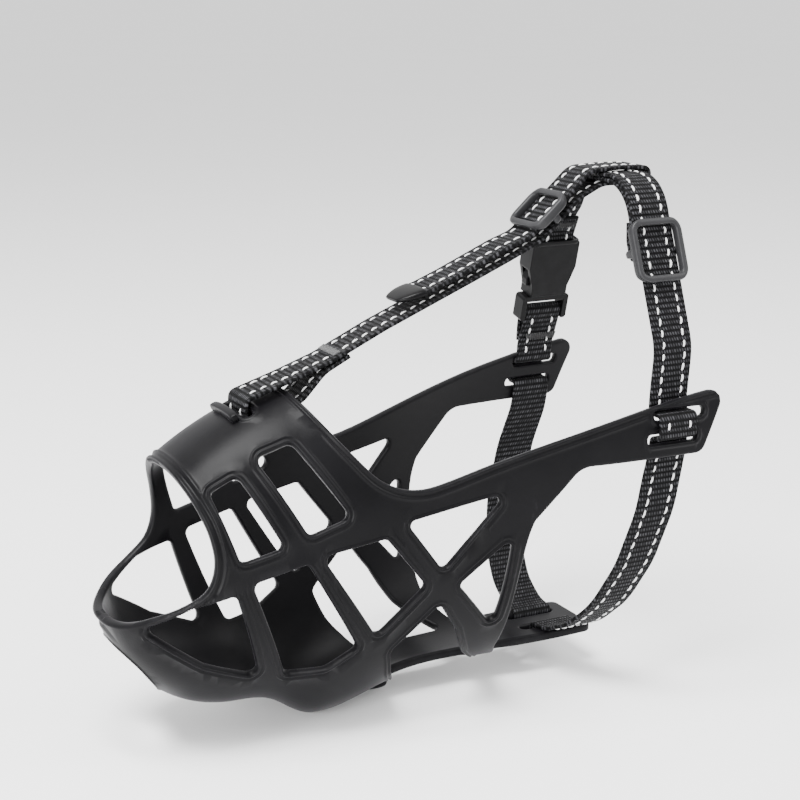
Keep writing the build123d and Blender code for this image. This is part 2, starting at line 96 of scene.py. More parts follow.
class Wiring:
    """Short forms for adding and linking nodes in one tree."""

    def __init__(self, tree):
        self.tree = tree

    def feed(self, socket, value):
        if isinstance(value, bpy.types.NodeSocket):
            self.tree.links.new(value, socket)
        elif value is not None:
            socket.default_value = value

    def node(self, kind, settings=None, **inputs):
        made = self.tree.nodes.new("ShaderNode" + kind)
        for name, value in (settings or {}).items():
            setattr(made, name, value)
        for name, value in inputs.items():
            self.feed(made.inputs[name.replace("_", " ")], value)
        return made

    def math(self, operation, first, second=None, third=None, clamp=False):
        made = self.tree.nodes.new("ShaderNodeMath")
        made.operation = operation
        made.use_clamp = clamp
        for socket, value in zip(made.inputs, (first, second, third)):
            self.feed(socket, value)
        return made.outputs[0]

    def remap(self, value, low, high, to_low=0.0, to_high=1.0):
        made = self.tree.nodes.new("ShaderNodeMapRange")
        for socket, given in zip(made.inputs, (value, low, high, to_low, to_high)):
            self.feed(socket, given)
        return made.outputs[0]

    def mix(self, factor, first, second):
        made = self.tree.nodes.new("ShaderNodeMix")
        made.data_type = "RGBA"
        self.feed(made.inputs[0], factor)
        self.feed(made.inputs[6], first)
        self.feed(made.inputs[7], second)
        return made.outputs[2]

    def noise(self, vector, scale, detail=3.0, roughness=0.5):
        made = self.node("TexNoise", Vector=vector, Scale=scale, Detail=detail, Roughness=roughness)
        return made.outputs[0]


def grain_group():
    """Fine moulded grain: cells and noise as a height, and a slow mottling."""
    group, start, end = new_group(
        "moulded_grain",
        [("Vector", "Vector", None), ("Grain Scale", "Float", 900.0), ("Mottle Scale", "Float", 40.0)],
        [("Height", "Float"), ("Mottle", "Float")])
    w = Wiring(group)
    cells = w.node("TexVoronoi", Vector=start.outputs[0], Scale=start.outputs[1]).outputs[0]
    fine = w.noise(start.outputs[0], start.outputs[1], 4.0, 0.6)
    height = w.math("ADD", w.math("MULTIPLY", cells, 0.5), w.math("MULTIPLY", fine, 0.5))
    group.links.new(height, end.inputs[0])
    group.links.new(w.noise(start.outputs[0], start.outputs[2], 5.0, 0.55), end.inputs[1])
    return group


def wear_group():
    """Mask of rubbed raised edges, from the surface's pointiness and a noise."""
    group, start, end = new_group(
        "edge_wear",
        [("Vector", "Vector", None), ("Low", "Float", 0.52), ("High", "Float", 0.6)],
        [("Mask", "Float")])
    w = Wiring(group)
    point = w.node("NewGeometry").outputs["Pointiness"]
    edge = w.remap(point, start.outputs[1], start.outputs[2])
    broken = w.remap(w.noise(start.outputs[0], 260.0, 4.0, 0.6), 0.35, 0.65)
    group.links.new(w.math("MULTIPLY", edge, broken), end.inputs[0])
    return group


def dust_group():
    """Thin dust that settles on faces turned upwards, broken by noise."""
    group, start, end = new_group(
        "settled_dust",
        [("Vector", "Vector", None), ("Amount", "Float", 0.2)],
        [("Mask", "Float")])
    w = Wiring(group)
    up = w.node("SeparateXYZ", Vector=w.node("NewGeometry").outputs["Normal"]).outputs[2]
    facing = w.remap(up, 0.2, 1.0)
    broken = w.remap(w.noise(start.outputs[0], 120.0, 6.0, 0.7), 0.4, 0.75)
    mask = w.math("MULTIPLY", w.math("MULTIPLY", facing, broken), start.outputs[1])
    group.links.new(mask, end.inputs[0])
    return group


def weave_group():
    """Ribbed nylon weave on a UV in millimetres: U along the webbing, V across.
    Ribs run across it, each a row of slanted cords. Puts out a height, a mask
    of the cords' crests and a variation from cord to cord."""
    group, start, end = new_group(
        "ribbed_weave",
        [("UV", "Vector", None), ("Rib Pitch", "Float", 1.9), ("Cord Pitch", "Float", 1.05),
         ("Slant", "Float", 0.55)],
        [("Height", "Float"), ("Crest", "Float"), ("Variation", "Float")])
    w = Wiring(group)
    uv = w.node("SeparateXYZ", Vector=start.outputs[0])
    along = w.math("DIVIDE", uv.outputs[0], start.outputs[1])
    row = w.math("FLOOR", along)
    phase = w.math("FRACT", along)
    rib = w.math("POWER", w.math("SINE", w.math("MULTIPLY", phase, pi)), 0.7)
    shift = w.math("MULTIPLY", row, 0.37)
    across = w.math("ADD", w.math("DIVIDE", uv.outputs[1], start.outputs[2]), shift)
    column = w.math("ADD", across, w.math("MULTIPLY", phase, start.outputs[3]))
    cord = w.math("SINE", w.math("MULTIPLY", w.math("FRACT", column), pi))
    height = w.math("MULTIPLY", rib, w.math("ADD", w.math("MULTIPLY", cord, 0.55), 0.45))
    cell = w.node("CombineXYZ", X=row, Y=w.math("FLOOR", column))
    chance = w.node("TexWhiteNoise", {"noise_dimensions": "2D"}, Vector=cell.outputs[0]).outputs[0]
    stretched = w.node("Mapping", Vector=start.outputs[0], Scale=(1.2, 7.0, 1.0)).outputs[0]
    fibre = w.noise(stretched, 2.0, 3.0, 0.6)
    crest = w.math("MULTIPLY", w.remap(rib, 0.62, 0.95), w.remap(cord, 0.45, 0.9))
    group.links.new(w.math("ADD", height, w.math("MULTIPLY", fibre, 0.22)), end.inputs[0])
    group.links.new(crest, end.inputs[1])
    variation = w.math("ADD", w.math("MULTIPLY", chance, 0.6), w.math("MULTIPLY", fibre, 0.4))
    group.links.new(variation, end.inputs[2])
    return group


GRAIN = grain_group()
WEAR = wear_group()
DUST = dust_group()
WEAVE = weave_group()


def material(name):
    """A new material: its wiring, its Principled shader and a group placer."""
    made = bpy.data.materials.new(name)
    made.use_nodes = True
    w = Wiring(made.node_tree)
    shader = made.node_tree.nodes["Principled BSDF"]

    def group(tree, **inputs):
        node = made.node_tree.nodes.new("ShaderNodeGroup")
        node.node_tree = tree
        for label, value in inputs.items():
            w.feed(node.inputs[label.replace("_", " ")], value)
        return node

    return made, w, shader, group


def moulded(name, dark, light, rough, gloss, grain_scale, bump, wear_colour, dust_amount):
    """A moulded polymer with grain, mottled sheen, rubbed edges and dust."""
    made, w, shader, group = material(name)
    coordinates = w.node("TexCoord").outputs["Object"]
    grain = group(GRAIN, Vector=coordinates, Grain_Scale=grain_scale, Mottle_Scale=38.0)
    wear = group(WEAR, Vector=coordinates)
    dust = group(DUST, Vector=coordinates, Amount=dust_amount)
    base = w.mix(w.remap(grain.outputs[1], 0.3, 0.7), (*dark, 1.0), (*light, 1.0))
    worn = w.mix(w.math("MULTIPLY", wear.outputs[0], 0.5), base, (*wear_colour, 1.0))
    dusty = w.mix(dust.outputs[0], worn, (0.22, 0.21, 0.2, 1.0))
    w.feed(shader.inputs["Base Color"], dusty)
    smooth = w.remap(grain.outputs[1], 0.25, 0.75, rough - 0.05, rough + 0.07)
    w.feed(shader.inputs["Roughness"], w.math("ADD", smooth, w.math("MULTIPLY", dust.outputs[0], 0.3)))
    shader.inputs["Specular IOR Level"].default_value = gloss
    bumped = w.node("Bump", Strength=bump, Distance=0.00012, Height=grain.outputs[0])
    w.feed(shader.inputs["Normal"], bumped.outputs[0])
    return made


soft_plastic = moulded(
    "soft_moulded_plastic", (0.0014, 0.00135, 0.0017), (0.003, 0.0029, 0.0035), 0.37, 0.085, 1500.0, 0.16,
    (0.016, 0.0155, 0.0175), 0.012)
soft_shader = soft_plastic.node_tree.nodes["Principled BSDF"]
soft_shader.inputs["Sheen Weight"].default_value = 0.03
soft_shader.inputs["Sheen Roughness"].default_value = 0.4
soft_shader.inputs["Sheen Tint"].default_value = (0.82, 0.78, 0.9, 1.0)
hard_plastic = moulded(
    "acetal_hardware", (0.001, 0.001, 0.0012), (0.0025, 0.0024, 0.0028), 0.31, 0.085, 2600.0, 0.12,
    (0.024, 0.024, 0.026), 0.015)
slider_plastic = moulded(
    "slider_plastic", (0.013, 0.013, 0.014), (0.022, 0.022, 0.0235), 0.36, 0.16, 2600.0, 0.12,
    (0.06, 0.06, 0.062), 0.015)


def webbing_material():
    """Black nylon: painted shade darkens the gaps between the ribs and painted glints lighten the cords'
    crests.
    """
    made, w, shader, group = material("black_nylon_webbing")
    uv = w.node("UVMap", {"uv_map": "Webbing"}).outputs[0]
    weave = group(WEAVE, UV=uv, Rib_Pitch=1.9, Cord_Pitch=1.05, Slant=0.55)
    dust = group(DUST, Vector=w.node("TexCoord").outputs["Object"], Amount=0.04)
    # gap is a painted shade colour for the hollows between the ribs, and cord is the nylon's own colour: body
    # darkens with the weave's depth.
    gap, cord = (0.0003, 0.0003, 0.0004, 1.0), (0.0022, 0.0022, 0.0026, 1.0)
    body = w.mix(w.remap(weave.outputs[0], 0.1, 0.8), gap, cord)
    # Painted glints: the colour is lightened on the cords' crests, and the roughness is lowered there.
    painted_glint = w.math("MULTIPLY", weave.outputs[1], w.remap(weave.outputs[2], 0.2, 0.8, 0.25, 1.0))
    with_painted_glint = w.mix(painted_glint, body, (0.045, 0.045, 0.049, 1.0))
    w.feed(shader.inputs["Base Color"], w.mix(dust.outputs[0], with_painted_glint, (0.16, 0.155, 0.15, 1.0)))
    w.feed(shader.inputs["Roughness"], w.remap(painted_glint, 0.0, 1.0, 0.62, 0.4))
    shader.inputs["Specular IOR Level"].default_value = 0.07
    bumped = w.node("Bump", Strength=1.0, Distance=0.0004, Height=weave.outputs[0])
    w.feed(shader.inputs["Normal"], bumped.outputs[0])
    return made


def thread_material(name, dark, light, rough):
    """Twisted thread: fine slanted strands with painted shade between them."""
    made, w, shader, group = material(name)
    coordinates = w.node("TexCoord").outputs["Object"]
    turned = w.node("Mapping", Vector=coordinates, Rotation=(0.5, 0.4, 0.7)).outputs[0]
    strands = w.node("TexWave", {"wave_type": "BANDS"}, Vector=turned,
                     Scale=1500.0, Distortion=2.5, Detail=2.0)
    grain = group(GRAIN, Vector=coordinates, Grain_Scale=2400.0, Mottle_Scale=160.0)
    # Painted shade: the colour is darker between the strands, where their bump is low, mixed with a random
    # mottle.
    painted_strand_shade = w.math("MULTIPLY", strands.outputs[1], 0.6)
    strand_shade_and_mottle = w.math("ADD", painted_strand_shade, w.math("MULTIPLY", grain.outputs[1], 0.5), clamp=True)
    w.feed(shader.inputs["Base Color"], w.mix(strand_shade_and_mottle, (*dark, 1.0), (*light, 1.0)))
    w.feed(shader.inputs["Roughness"], w.remap(grain.outputs[1], 0.2, 0.8, rough - 0.1, rough + 0.1))
    shader.inputs["Sheen Weight"].default_value = 0.2
    bumped = w.node("Bump", Strength=0.6, Distance=0.0001, Height=strands.outputs[1])
    w.feed(shader.inputs["Normal"], bumped.outputs[0])
    return made


webbing = webbing_material()
white_thread = thread_material("white_reflective_thread", (0.42, 0.42, 0.43), (0.86, 0.86, 0.85), 0.42)
black_thread = thread_material("black_bartack_thread", (0.004, 0.004, 0.005), (0.028, 0.028, 0.03), 0.6)


# ---------------------------------------------------------------- mesh tools
def mesh_object(name, vertices, faces, finish_material, body=None):
    """A smooth-shaded mesh object in the frame's metres."""
    mesh = bpy.data.meshes.new(name)
    mesh.from_pydata([tuple(v) for v in vertices], [], faces)
    mesh.materials.append(finish_material)
    mesh.polygons.foreach_set("use_smooth", [True] * len(mesh.polygons))
    mesh.update()
    made = bpy.data.objects.new(name, mesh)
    bpy.context.scene.collection.objects.link(made)
    if body:
        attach(made, body)
    return made


def outward_faces(made):
    """Turns the faces of closed forms outwards."""
    bm = bmesh.new()
    bm.from_mesh(made.data)
    bmesh.ops.recalc_face_normals(bm, faces=bm.faces)
    bm.to_mesh(made.data)
    bm.free()


def swept(path, sections, closed=False):
    """Points and faces of a section carried along a path.

    The path is (middle, out, up) triples, and each section is (out, up) pairs.
    """
    count, ring = len(path), len(sections[0])
    vertices = [middle + out * a + up * b
                for (middle, out, up), pairs in zip(path, sections) for a, b in pairs]
    faces = []
    for i in range(count if closed else count - 1):
        near, far = i * ring, (i + 1) % count * ring
        faces += [(near + k, near + (k + 1) % ring, far + (k + 1) % ring, far + k) for k in range(ring)]
    if not closed:
        faces.append(tuple(range(ring))[::-1])
        faces.append(tuple(range((count - 1) * ring, count * ring)))
    return vertices, faces


def joined(forms):
    """Several forms' points and faces as one form's."""
    vertices, faces = [], []
    for points, corners in forms:
        faces += [tuple(k + len(vertices) for k in face) for face in corners]
        vertices += points
    return vertices, faces


def closed_form(name, form, finish_material, body, in_millimetres=True):
    """A mesh object from points and faces, with its faces turned outwards."""
    vertices, faces = form
    if in_millimetres:
        vertices = [place(*q) for q in vertices]
    made = mesh_object(name, vertices, faces, finish_material, body)
    outward_faces(made)
    return made


# ---------------------------------------------------------------- basket wall
NOSE_Z = 8.0
SIDE_ROUND, SIDE_BULGE, SIDE_FLARE = 32.0, 28.0, 0.105
ARM_BULGE, ARM_BULGE_X, ARM_BULGE_REACH = 2.7, 160.0, 50.0
TOP_ROUND, TOP_BULGE, TOP_FLARE = 60.0, 39.65, 0.282
CHIN_ROUND, CHIN_BULGE = 42.0, 44.5
CHIN_DIP, CHIN_DIP_X, CHIN_DIP_FRONT, CHIN_DIP_REAR = 10.0, 70.0, 12.0, 24.0
SQUARENESS = 2.4
WALL = 2.75
TAB_Z = -33.8
TAB_HALF_THICK = 1.6
LENGTH_EASE = 32.0      # spreads the domain near the lip, where the form is steep


def rounding(x, length):
    rest = 1 - np.minimum(x, length) / length
    return np.sqrt(np.maximum(1 - rest * rest, 0))


def half_width(x):
    reach = np.clip((x - ARM_BULGE_X) / ARM_BULGE_REACH, -1, 1)
    return SIDE_BULGE * rounding(x, SIDE_ROUND) + SIDE_FLARE * x + ARM_BULGE * np.cos(pi / 2 * reach) ** 2


def top_of(x):
    return NOSE_Z + TOP_BULGE * rounding(x, TOP_ROUND) + TOP_FLARE * x


def bottom_of(x):
    reach = np.where(x < CHIN_DIP_X, CHIN_DIP_FRONT, CHIN_DIP_REAR)
    dip = CHIN_DIP * np.exp(-(((x - CHIN_DIP_X) / reach) ** 2))
    return NOSE_Z - CHIN_BULGE * rounding(x, CHIN_ROUND) - dip


def wall_section(x):
    """Middle height and half height of the wall's section."""
    return (top_of(x) + bottom_of(x)) / 2, (top_of(x) - bottom_of(x)) / 2


def signed_power(value, power):
    return np.sign(value) * np.abs(value) ** power


def girth(x):
    """Millimetres of wall per radian of section angle."""
    return np.sqrt(half_width(x) * (top_of(x) - bottom_of(x)) / 2)


def to_domain(x, angle):
    """Flat coordinates of the wall: eased length and distance round the section."""
    return np.stack([np.sqrt(x * x + 2 * LENGTH_EASE * x), angle * girth(x)], axis=-1)


def smooth_step(value):
    value = np.clip(value, 0, 1)
    return value * value * (3 - 2 * value)


def surface(domain):
    """Points of the outer wall, in millimetres from the lip, on the right side."""
    p = np.maximum(domain[..., 0], 0.5)
    x = np.sqrt(p * p + LENGTH_EASE ** 2) - LENGTH_EASE
    angle = domain[..., 1] / girth(x)
    middle, tall = wall_section(x)
    y = half_width(x) * signed_power(np.cos(angle), 2 / SQUARENESS)
    z = middle + tall * signed_power(np.sin(angle), 2 / SQUARENESS)
    flat = smooth_step((x - 136) / 14) * (1 - smooth_step((np.abs(y) - 13.5) / 7)) * (z < 0)
    z = z + flat * (TAB_Z - TAB_HALF_THICK - z)
    return np.stack([x, y, z], axis=-1)


def wall_normals(domain, step=0.05):
    """Outward unit normals of the wall."""
    across = surface(domain + [0, step]) - surface(domain - [0, step])
    along = surface(domain + [step, 0]) - surface(domain - [step, 0])
    normal = np.cross(across, along)
    return normal / np.linalg.norm(normal, axis=-1, keepdims=True)


def from_space(points):
    """Domain coordinates of points (x, y, z) near the wall."""
    x, y, z = np.maximum(points[:, 0], 0.02), points[:, 1], points[:, 2]
    middle, tall = wall_section(x)
    out, rise = y / half_width(x), np.clip((z - middle) / tall, -1, 1)
    return to_domain(x, np.arctan2(signed_power(rise, SQUARENESS / 2), signed_power(out, SQUARENESS / 2)))


def superellipse_partner(share):
    return (1 - np.minimum(np.abs(share), 1) ** SQUARENESS) ** (1 / SQUARENESS)


def from_side(points):
    """Domain coordinates of side-view points (x, z)."""
    points = np.asarray(points, float)
    x, z = np.maximum(points[:, 0], 0.02), points[:, 1]
    middle, tall = wall_section(x)
    y = half_width(x) * superellipse_partner((z - middle) / tall)
    return from_space(np.stack([x, y, z], axis=-1))


def from_plan(points, face=-1):
    """Domain coordinates of points seen in plan (x, y), on the underside or, with 1, the bridge."""
    points = np.asarray(points, float)
    x, y = points[:, 0], points[:, 1]
    middle, tall = wall_section(x)
    z = middle + face * tall * superellipse_partner(y / half_width(x))
    return from_space(np.stack([x, y, z], axis=-1))


# ---------------------------------------------------------------- outlines
def rounded_line(points, radii, closed=False, arc_step=0.3):
    """A polyline with its corners turned into arcs of the given radii."""
    points = [np.array(q, float) for q in points]
    count = len(points)
    made = [] if closed else [points[0]]
    corners = range(count) if closed else range(1, count - 1)
    for number, i in enumerate(corners):
        before, here, after = points[i - 1], points[i], points[(i + 1) % count]
        a, b = before - here, after - here
        a, b = a / np.linalg.norm(a), b / np.linalg.norm(b)
        radius = radii[number] if hasattr(radii, "__len__") else radii
        half = np.arccos(np.clip(a @ b, -1, 1)) / 2
        centre = here + (a + b) / np.linalg.norm(a + b) * radius / sin(half)
        start = here + a * radius / np.tan(half)
        end = here + b * radius / np.tan(half)
        turn = pi - 2 * half
        steps = max(2, int(np.ceil(max(radius * turn / arc_step, turn / 0.35))))
        for share in np.linspace(0, 1, steps + 1):
            ray = (start - centre) * sin((1 - share) * turn) + (end - centre) * sin(share * turn)
            made.append(centre + ray / sin(turn))
    if not closed:
        made.append(points[-1])
    return np.array(made)


def smooth_curve(points, ends=None, steps=24):
    """A smooth curve through points, with given directions at its ends."""
    q = np.array(points, float)
    gaps = np.linalg.norm(np.diff(q, axis=0), axis=1)
    slopes = np.zeros_like(q)
    slopes[1:-1] = (q[2:] - q[:-2]) / (gaps[1:] + gaps[:-1])[:, None]
    first, last = ends or ((q[1] - q[0]), (q[-1] - q[-2]))
    slopes[0] = np.array(first) / np.linalg.norm(first)
    slopes[-1] = np.array(last) / np.linalg.norm(last)
    made = []
    for i, gap in enumerate(gaps):
        for t in np.linspace(0, 1, steps, endpoint=False):
            made.append((2 * t ** 3 - 3 * t * t + 1) * q[i] + (t ** 3 - 2 * t * t + t) * gap * slopes[i]
                        + (3 * t * t - 2 * t ** 3) * q[i + 1] + (t ** 3 - t * t) * gap * slopes[i + 1])
    made.append(q[-1])
    return np.array(made)


def fine(points, step=0.02, closed=False):
    """The same polyline with points every step."""
    points = np.asarray(points, float)
    if closed:
        points = np.vstack([points, points[:1]])
    gaps = np.linalg.norm(np.diff(points, axis=0), axis=1)
    at = np.concatenate([[0], np.cumsum(gaps)])
    wanted = np.linspace(0, at[-1], max(2, int(at[-1] / step)))
    return np.stack([np.interp(wanted, at, points[:, k]) for k in range(points.shape[1])], axis=-1)


def spaced(domain, step, closed=False):
    """A domain polyline resampled at even distances along the wall."""
    if closed:
        domain = np.vstack([domain, domain[:1]])
    space = surface(domain)
    at = np.concatenate([[0], np.cumsum(np.linalg.norm(np.diff(space, axis=0), axis=1))])
    count = max(3, int(round(at[-1] / step)))
    wanted = np.linspace(0, at[-1], count + 1)
    made = np.stack([np.interp(wanted, at, domain[:, k]) for k in range(2)], axis=-1)
    return made[:-1] if closed else made


def inside(points, polygon):
    """Which points lie in the polygon."""
    x, y = points[:, 0], points[:, 1]
    found = np.zeros(len(points), bool)
    for (ax, ay), (bx, by) in zip(polygon, np.roll(polygon, -1, axis=0)):
        if ay == by:
            continue
        crosses = (ay > y) != (by > y)
        found ^= crosses & (x < (bx - ax) * (y - ay) / (by - ay) + ax)
    return found


# Windows seen from the side: corners (x, z) and corner radius.
WINDOWS = {
    "cheek": ([(8.0, -1.5), (22.0, 6.0), (36.0, 9.2), (44.8, -21.8), (26.0, -14.2)], 2.2),
    "front_slot": ([(30.8, 41.2), (39.8, 45.6), (52.0, 22.6), (37.8, 19.2)], 2.0),
    "rear_slot": ([(46.2, 50.4), (58.6, 54.2), (74.2, 30.0), (60.2, 25.4)], 2.4),
    "jaw": ([(41.2, 12.0), (59.4, 16.4), (76.8, -15.2), (66.0, -21.6), (53.6, -22.6)], 2.2),
    "diamond": ([(64.2, 18.2), (85.8, 21.6), (99.6, 3.6), (83.2, -12.4)], 2.2),
    "valley": ([(92.6, 26.2), (127.6, 32.6), (105.4, 8.2)], 1.8),
    "arm_root": ([(111.2, 2.4), (129.6, 17.4), (126.0, -16.0)], 1.8),
}
NOSE_OPENING = [
    (-10.0, -0.6), (1.5, -1.6), (11.5, 3.0), (20.6, 7.4), (26.8, 12.0),
    (29.4, 19.5), (28.6, 28.5), (26.0, 37.0), (22.6, 46.0), (19.0, 58.0),
]
REAR_EDGE = [
    (64.6, 67.5), (71.2, 56.9), (78.6, 47.4), (84.6, 41.0), (91.6, 37.4), (99.0, 36.5), (107.4, 38.0),
]
ARM_TOP = [(107.4, 38.0), (125.0, 43.0), (146.0, 48.6), (168.0, 53.8), (190.0, 58.2), (209.6, 61.2)]
ARM_TIP_BOTTOM = (199.6, 38.8)
ARM_ROOT = (153.0, 38.8)
V_REAR = [(137.0, 22.0), (132.6, 4.0), (131.4, -16.0), (131.6, -26.0), (133.4, -29.8)]
UPPER_SLOT, LOWER_SLOT = (190.2, 53.4), (187.4, 45.4)
SLOT_LENGTH, SLOT_HEIGHT = 19.5, 3.4
BRIDGE_SLOT_X, BRIDGE_SLOT_WIDE, BRIDGE_SLOT_LONG = 50.3, 3.6, 19.6
TAB_END, TAB_HALF, TAB_SLOT_X, TAB_SLOT_Y = 181.0, 12.75, 165.0, 5.4
CHIN_HOLE_CENTRE, CHIN_HOLE_AXIS, CHIN_HOLE_RADII = (9.8, -20.4), (-0.838, -0.545), (12.4, 11.4)
STRIP_HALF = 10.0


def slot_corners(centre, length, height):
    (x, z), a, b = centre, length / 2, height / 2
    return [(x - a, z - b), (x + a, z - b), (x + a, z + b), (x - a, z + b)]


def chin_outline():
    """Half of the hole under the lip, cut along its own axis into the wall."""
    turn = np.linspace(0, pi, 240)
    axis = np.array([CHIN_HOLE_AXIS[0], 0, CHIN_HOLE_AXIS[1]])
    rise = np.array([-axis[2], 0, axis[0]])
    start = np.array([CHIN_HOLE_CENTRE[0], 0, CHIN_HOLE_CENTRE[1]])
    start = start + np.outer(CHIN_HOLE_RADII[1] * np.cos(turn), rise)
    start[:, 1] += CHIN_HOLE_RADII[0] * np.sin(turn)
    low, high = np.full(len(turn), -14.0), np.full(len(turn), 14.0)
    for _ in range(40):
        middle = (low + high) / 2
        q = start + middle[:, None] * axis
        x = np.maximum(q[:, 0], 1e-3)
        centre, tall = wall_section(x)
        out, rise_share = np.abs(q[:, 1] / half_width(x)), np.abs((q[:, 2] - centre) / tall)
        value = out ** SQUARENESS + rise_share ** SQUARENESS
        within = (value < 1) & (q[:, 0] > 1e-3)
        low, high = np.where(within, middle, low), np.where(within, high, middle)
    made = from_space(start + low[:, None] * axis)
    for end in (0, -1):
        x = np.sqrt(made[end, 0] ** 2 + LENGTH_EASE ** 2) - LENGTH_EASE
        made[end, 1] = -pi / 2 * girth(x)
    return made


def open_edge(domain):
    """The part of a curve that lies on the wall, with its ends on the middle line."""
    x = np.sqrt(domain[:, 0] ** 2 + LENGTH_EASE ** 2) - LENGTH_EASE
    limit = pi / 2 * girth(x)
    on_wall = np.where(np.abs(domain[:, 1]) < limit - 1e-6)[0]
    return domain[max(on_wall[0] - 1, 0):on_wall[-1] + 2].copy()


def middle_line(x_from, x_to, sign):
    """Points of the top (1) or bottom (-1) middle line."""
    x = np.linspace(x_from, x_to, max(3, int(abs(x_to - x_from) / 0.05)))
    return to_domain(x, np.full(len(x), sign * pi / 2))


def length_of(domain_point):
    return sqrt(domain_point[0] ** 2 + LENGTH_EASE ** 2) - LENGTH_EASE


# Profile across a rim, from the opening's edge: distance and height, for
# a double bead; the plain rim has none and the frame has one broad bead.
DOUBLE_BEAD = [(0, 0.1), (0.3, 0.26), (0.62, 0.44), (0.95, 0.34), (1.25, 0.02), (1.55, -0.08),
               (1.85, 0.02), (2.1, 0.28), (2.35, 0.4), (2.65, 0.24), (2.95, 0.04), (3.2, 0)]
FRAME_BEAD = [(0, 0.2), (0.5, 0.5), (1.2, 0.6), (1.9, 0.55), (2.3, 0.25), (2.7, 0.03), (3.2, 0)]
ROWS = (0.1, 0.3, 0.55, 0.85, 1.15, 1.45, 1.75, 2.05, 2.35, 2.65, 2.95, 3.3, 4.1)
EDGE_ROUND = 0.9
EDGE_STEP = 0.85


def basket_edges():
    """Every moulded edge in the domain: points, closed, bead profile, scale."""
    edges = {}
    for name, (corners, radius) in WINDOWS.items():
        outline = fine(rounded_line(corners, radius, closed=True), closed=True)
        edges[name] = (from_side(outline), True, DOUBLE_BEAD, 1.0)
    throat = np.vstack([
        from_side([(105.2, -3.8), (112.6, -15.0), (119.0, -27.0)]),
        from_plan([(124.6, 20.5), (131.5, STRIP_HALF)]),
        from_plan([(99.5, STRIP_HALF), (96.0, 20.0)]), from_side([(92.4, -29.0), (89.2, -19.0)])])
    edges["throat"] = (fine(rounded_line(throat, 2.2, closed=True), closed=True), True, DOUBLE_BEAD, 0.9)
    for name, centre in (("upper_slot", UPPER_SLOT), ("lower_slot", LOWER_SLOT)):
        corners = slot_corners(centre, SLOT_LENGTH, SLOT_HEIGHT)
        outline = fine(rounded_line(corners, 1.4, closed=True), closed=True)
        edges[name] = (from_side(outline), True, FRAME_BEAD, 0.75)
    corners = slot_corners((TAB_SLOT_X, TAB_SLOT_Y), SLOT_LENGTH, SLOT_HEIGHT)
    tab_slot = fine(rounded_line(corners, 1.6, closed=True), closed=True)
    edges["tab_slot"] = (from_plan(tab_slot), True, None, 0.8)
    corners = slot_corners((BRIDGE_SLOT_X, 0), BRIDGE_SLOT_WIDE, BRIDGE_SLOT_LONG)
    bridge = rounded_line(corners, 1.6, closed=True)
    bridge = fine(bridge, closed=True)
    bridge = bridge[bridge[:, 1] >= 0]
    bridge = bridge[np.argsort(np.arctan2(bridge[:, 1], bridge[:, 0] - BRIDGE_SLOT_X))]
    edges["bridge_slot"] = (from_plan(bridge, 1), False, FRAME_BEAD, 0.9)
    edges["chin_hole"] = (chin_outline(), False, FRAME_BEAD, 0.6)
    edges["nose"] = (open_edge(from_side(fine(smooth_curve(NOSE_OPENING), 0.01))), False, DOUBLE_BEAD, 1.6)
    top = np.vstack([smooth_curve(REAR_EDGE, ((0.5, -1.0), (1.0, 0.25)))[:-1],
                     smooth_curve(ARM_TOP, ((1.0, 0.25), (1.0, 0.14)))[:-1]])
    tip = rounded_line([ARM_TOP[-2], ARM_TOP[-1], ARM_TIP_BOTTOM, ARM_ROOT, V_REAR[0]], (4.0, 4.0, 9.0))
    tip_start = np.argmax(tip[:, 0] > ARM_TOP[-2][0] + 0.1)
    side = np.vstack([top, tip[tip_start:-1]])
    split = len(top)
    outline = from_side(fine(side[:split + 3], 0.01))
    edges["rear_top"] = (open_edge(outline), False, DOUBLE_BEAD, 1.2)
    low = np.vstack([side[split + 2:], smooth_curve(V_REAR, ((-0.5, -1.0), (0.8, -1.0)))])
    low = from_side(fine(low))
    tab_side = from_plan([(138.6, 11.0), (147.0, TAB_HALF), (TAB_END, TAB_HALF), (TAB_END, 0.0)])
    tab = np.vstack([low[-1:], tab_side])
    low = np.vstack([low[:-1], fine(rounded_line(tab, (5.0, 5.0, 3.5)))])
    edges["arm_low"] = (low, False, None, 1.0)
    return edges


def bead_height(distance, profile, scale):
    if profile is None:
        return np.zeros(len(distance))
    at, high = np.array(profile).T
    return np.interp(distance / scale, at, high) * scale


def distance_to(points, line, closed):
    """Distance in space from each point to a polyline, in millimetres."""
    if closed:
        line = np.vstack([line[-1:], line, line[:1]])
    found = np.full(len(points), 1e9)
    for i in range(0, len(points), 2000):
        part = points[i:i + 2000]
        apart = ((part[:, None] - line[None]) ** 2).sum(-1)
        near = apart.argmin(1)
        best = np.sqrt(apart[np.arange(len(part)), near])
        for a, b in ((near - 1, near), (near, near + 1)):
            a, b = np.clip(a, 0, len(line) - 1), np.clip(b, 0, len(line) - 1)
            span = line[b] - line[a]
            long = np.maximum((span ** 2).sum(-1), 1e-12)
            share = np.clip(((part - line[a]) * span).sum(-1) / long, 0, 1)
            best = np.minimum(best, np.linalg.norm(part - line[a] - share[:, None] * span, axis=1))
        found[i:i + 2000] = best
    return found


def offset_rows(edge, sign, scale):
    """Points beside an edge, in rows that run parallel to it."""
    space = surface(edge)
    normal = wall_normals(edge)
    tangent = np.gradient(space, axis=0)
    tangent /= np.linalg.norm(tangent, axis=1, keepdims=True)
    outward = np.cross(tangent, normal) * sign
    step = 0.05
    along = (surface(edge + [step, 0]) - surface(edge - [step, 0])) / (2 * step)
    across = (surface(edge + [0, step]) - surface(edge - [0, step])) / (2 * step)
    aa, bb, ab = (along ** 2).sum(1), (across ** 2).sum(1), (along * across).sum(1)
    oa, ob = (outward * along).sum(1), (outward * across).sum(1)
    spread = aa * bb - ab * ab
    move = np.stack([(oa * bb - ob * ab) / spread, (ob * aa - oa * ab) / spread], axis=-1)
    return [edge + move * distance * scale for distance in ROWS]


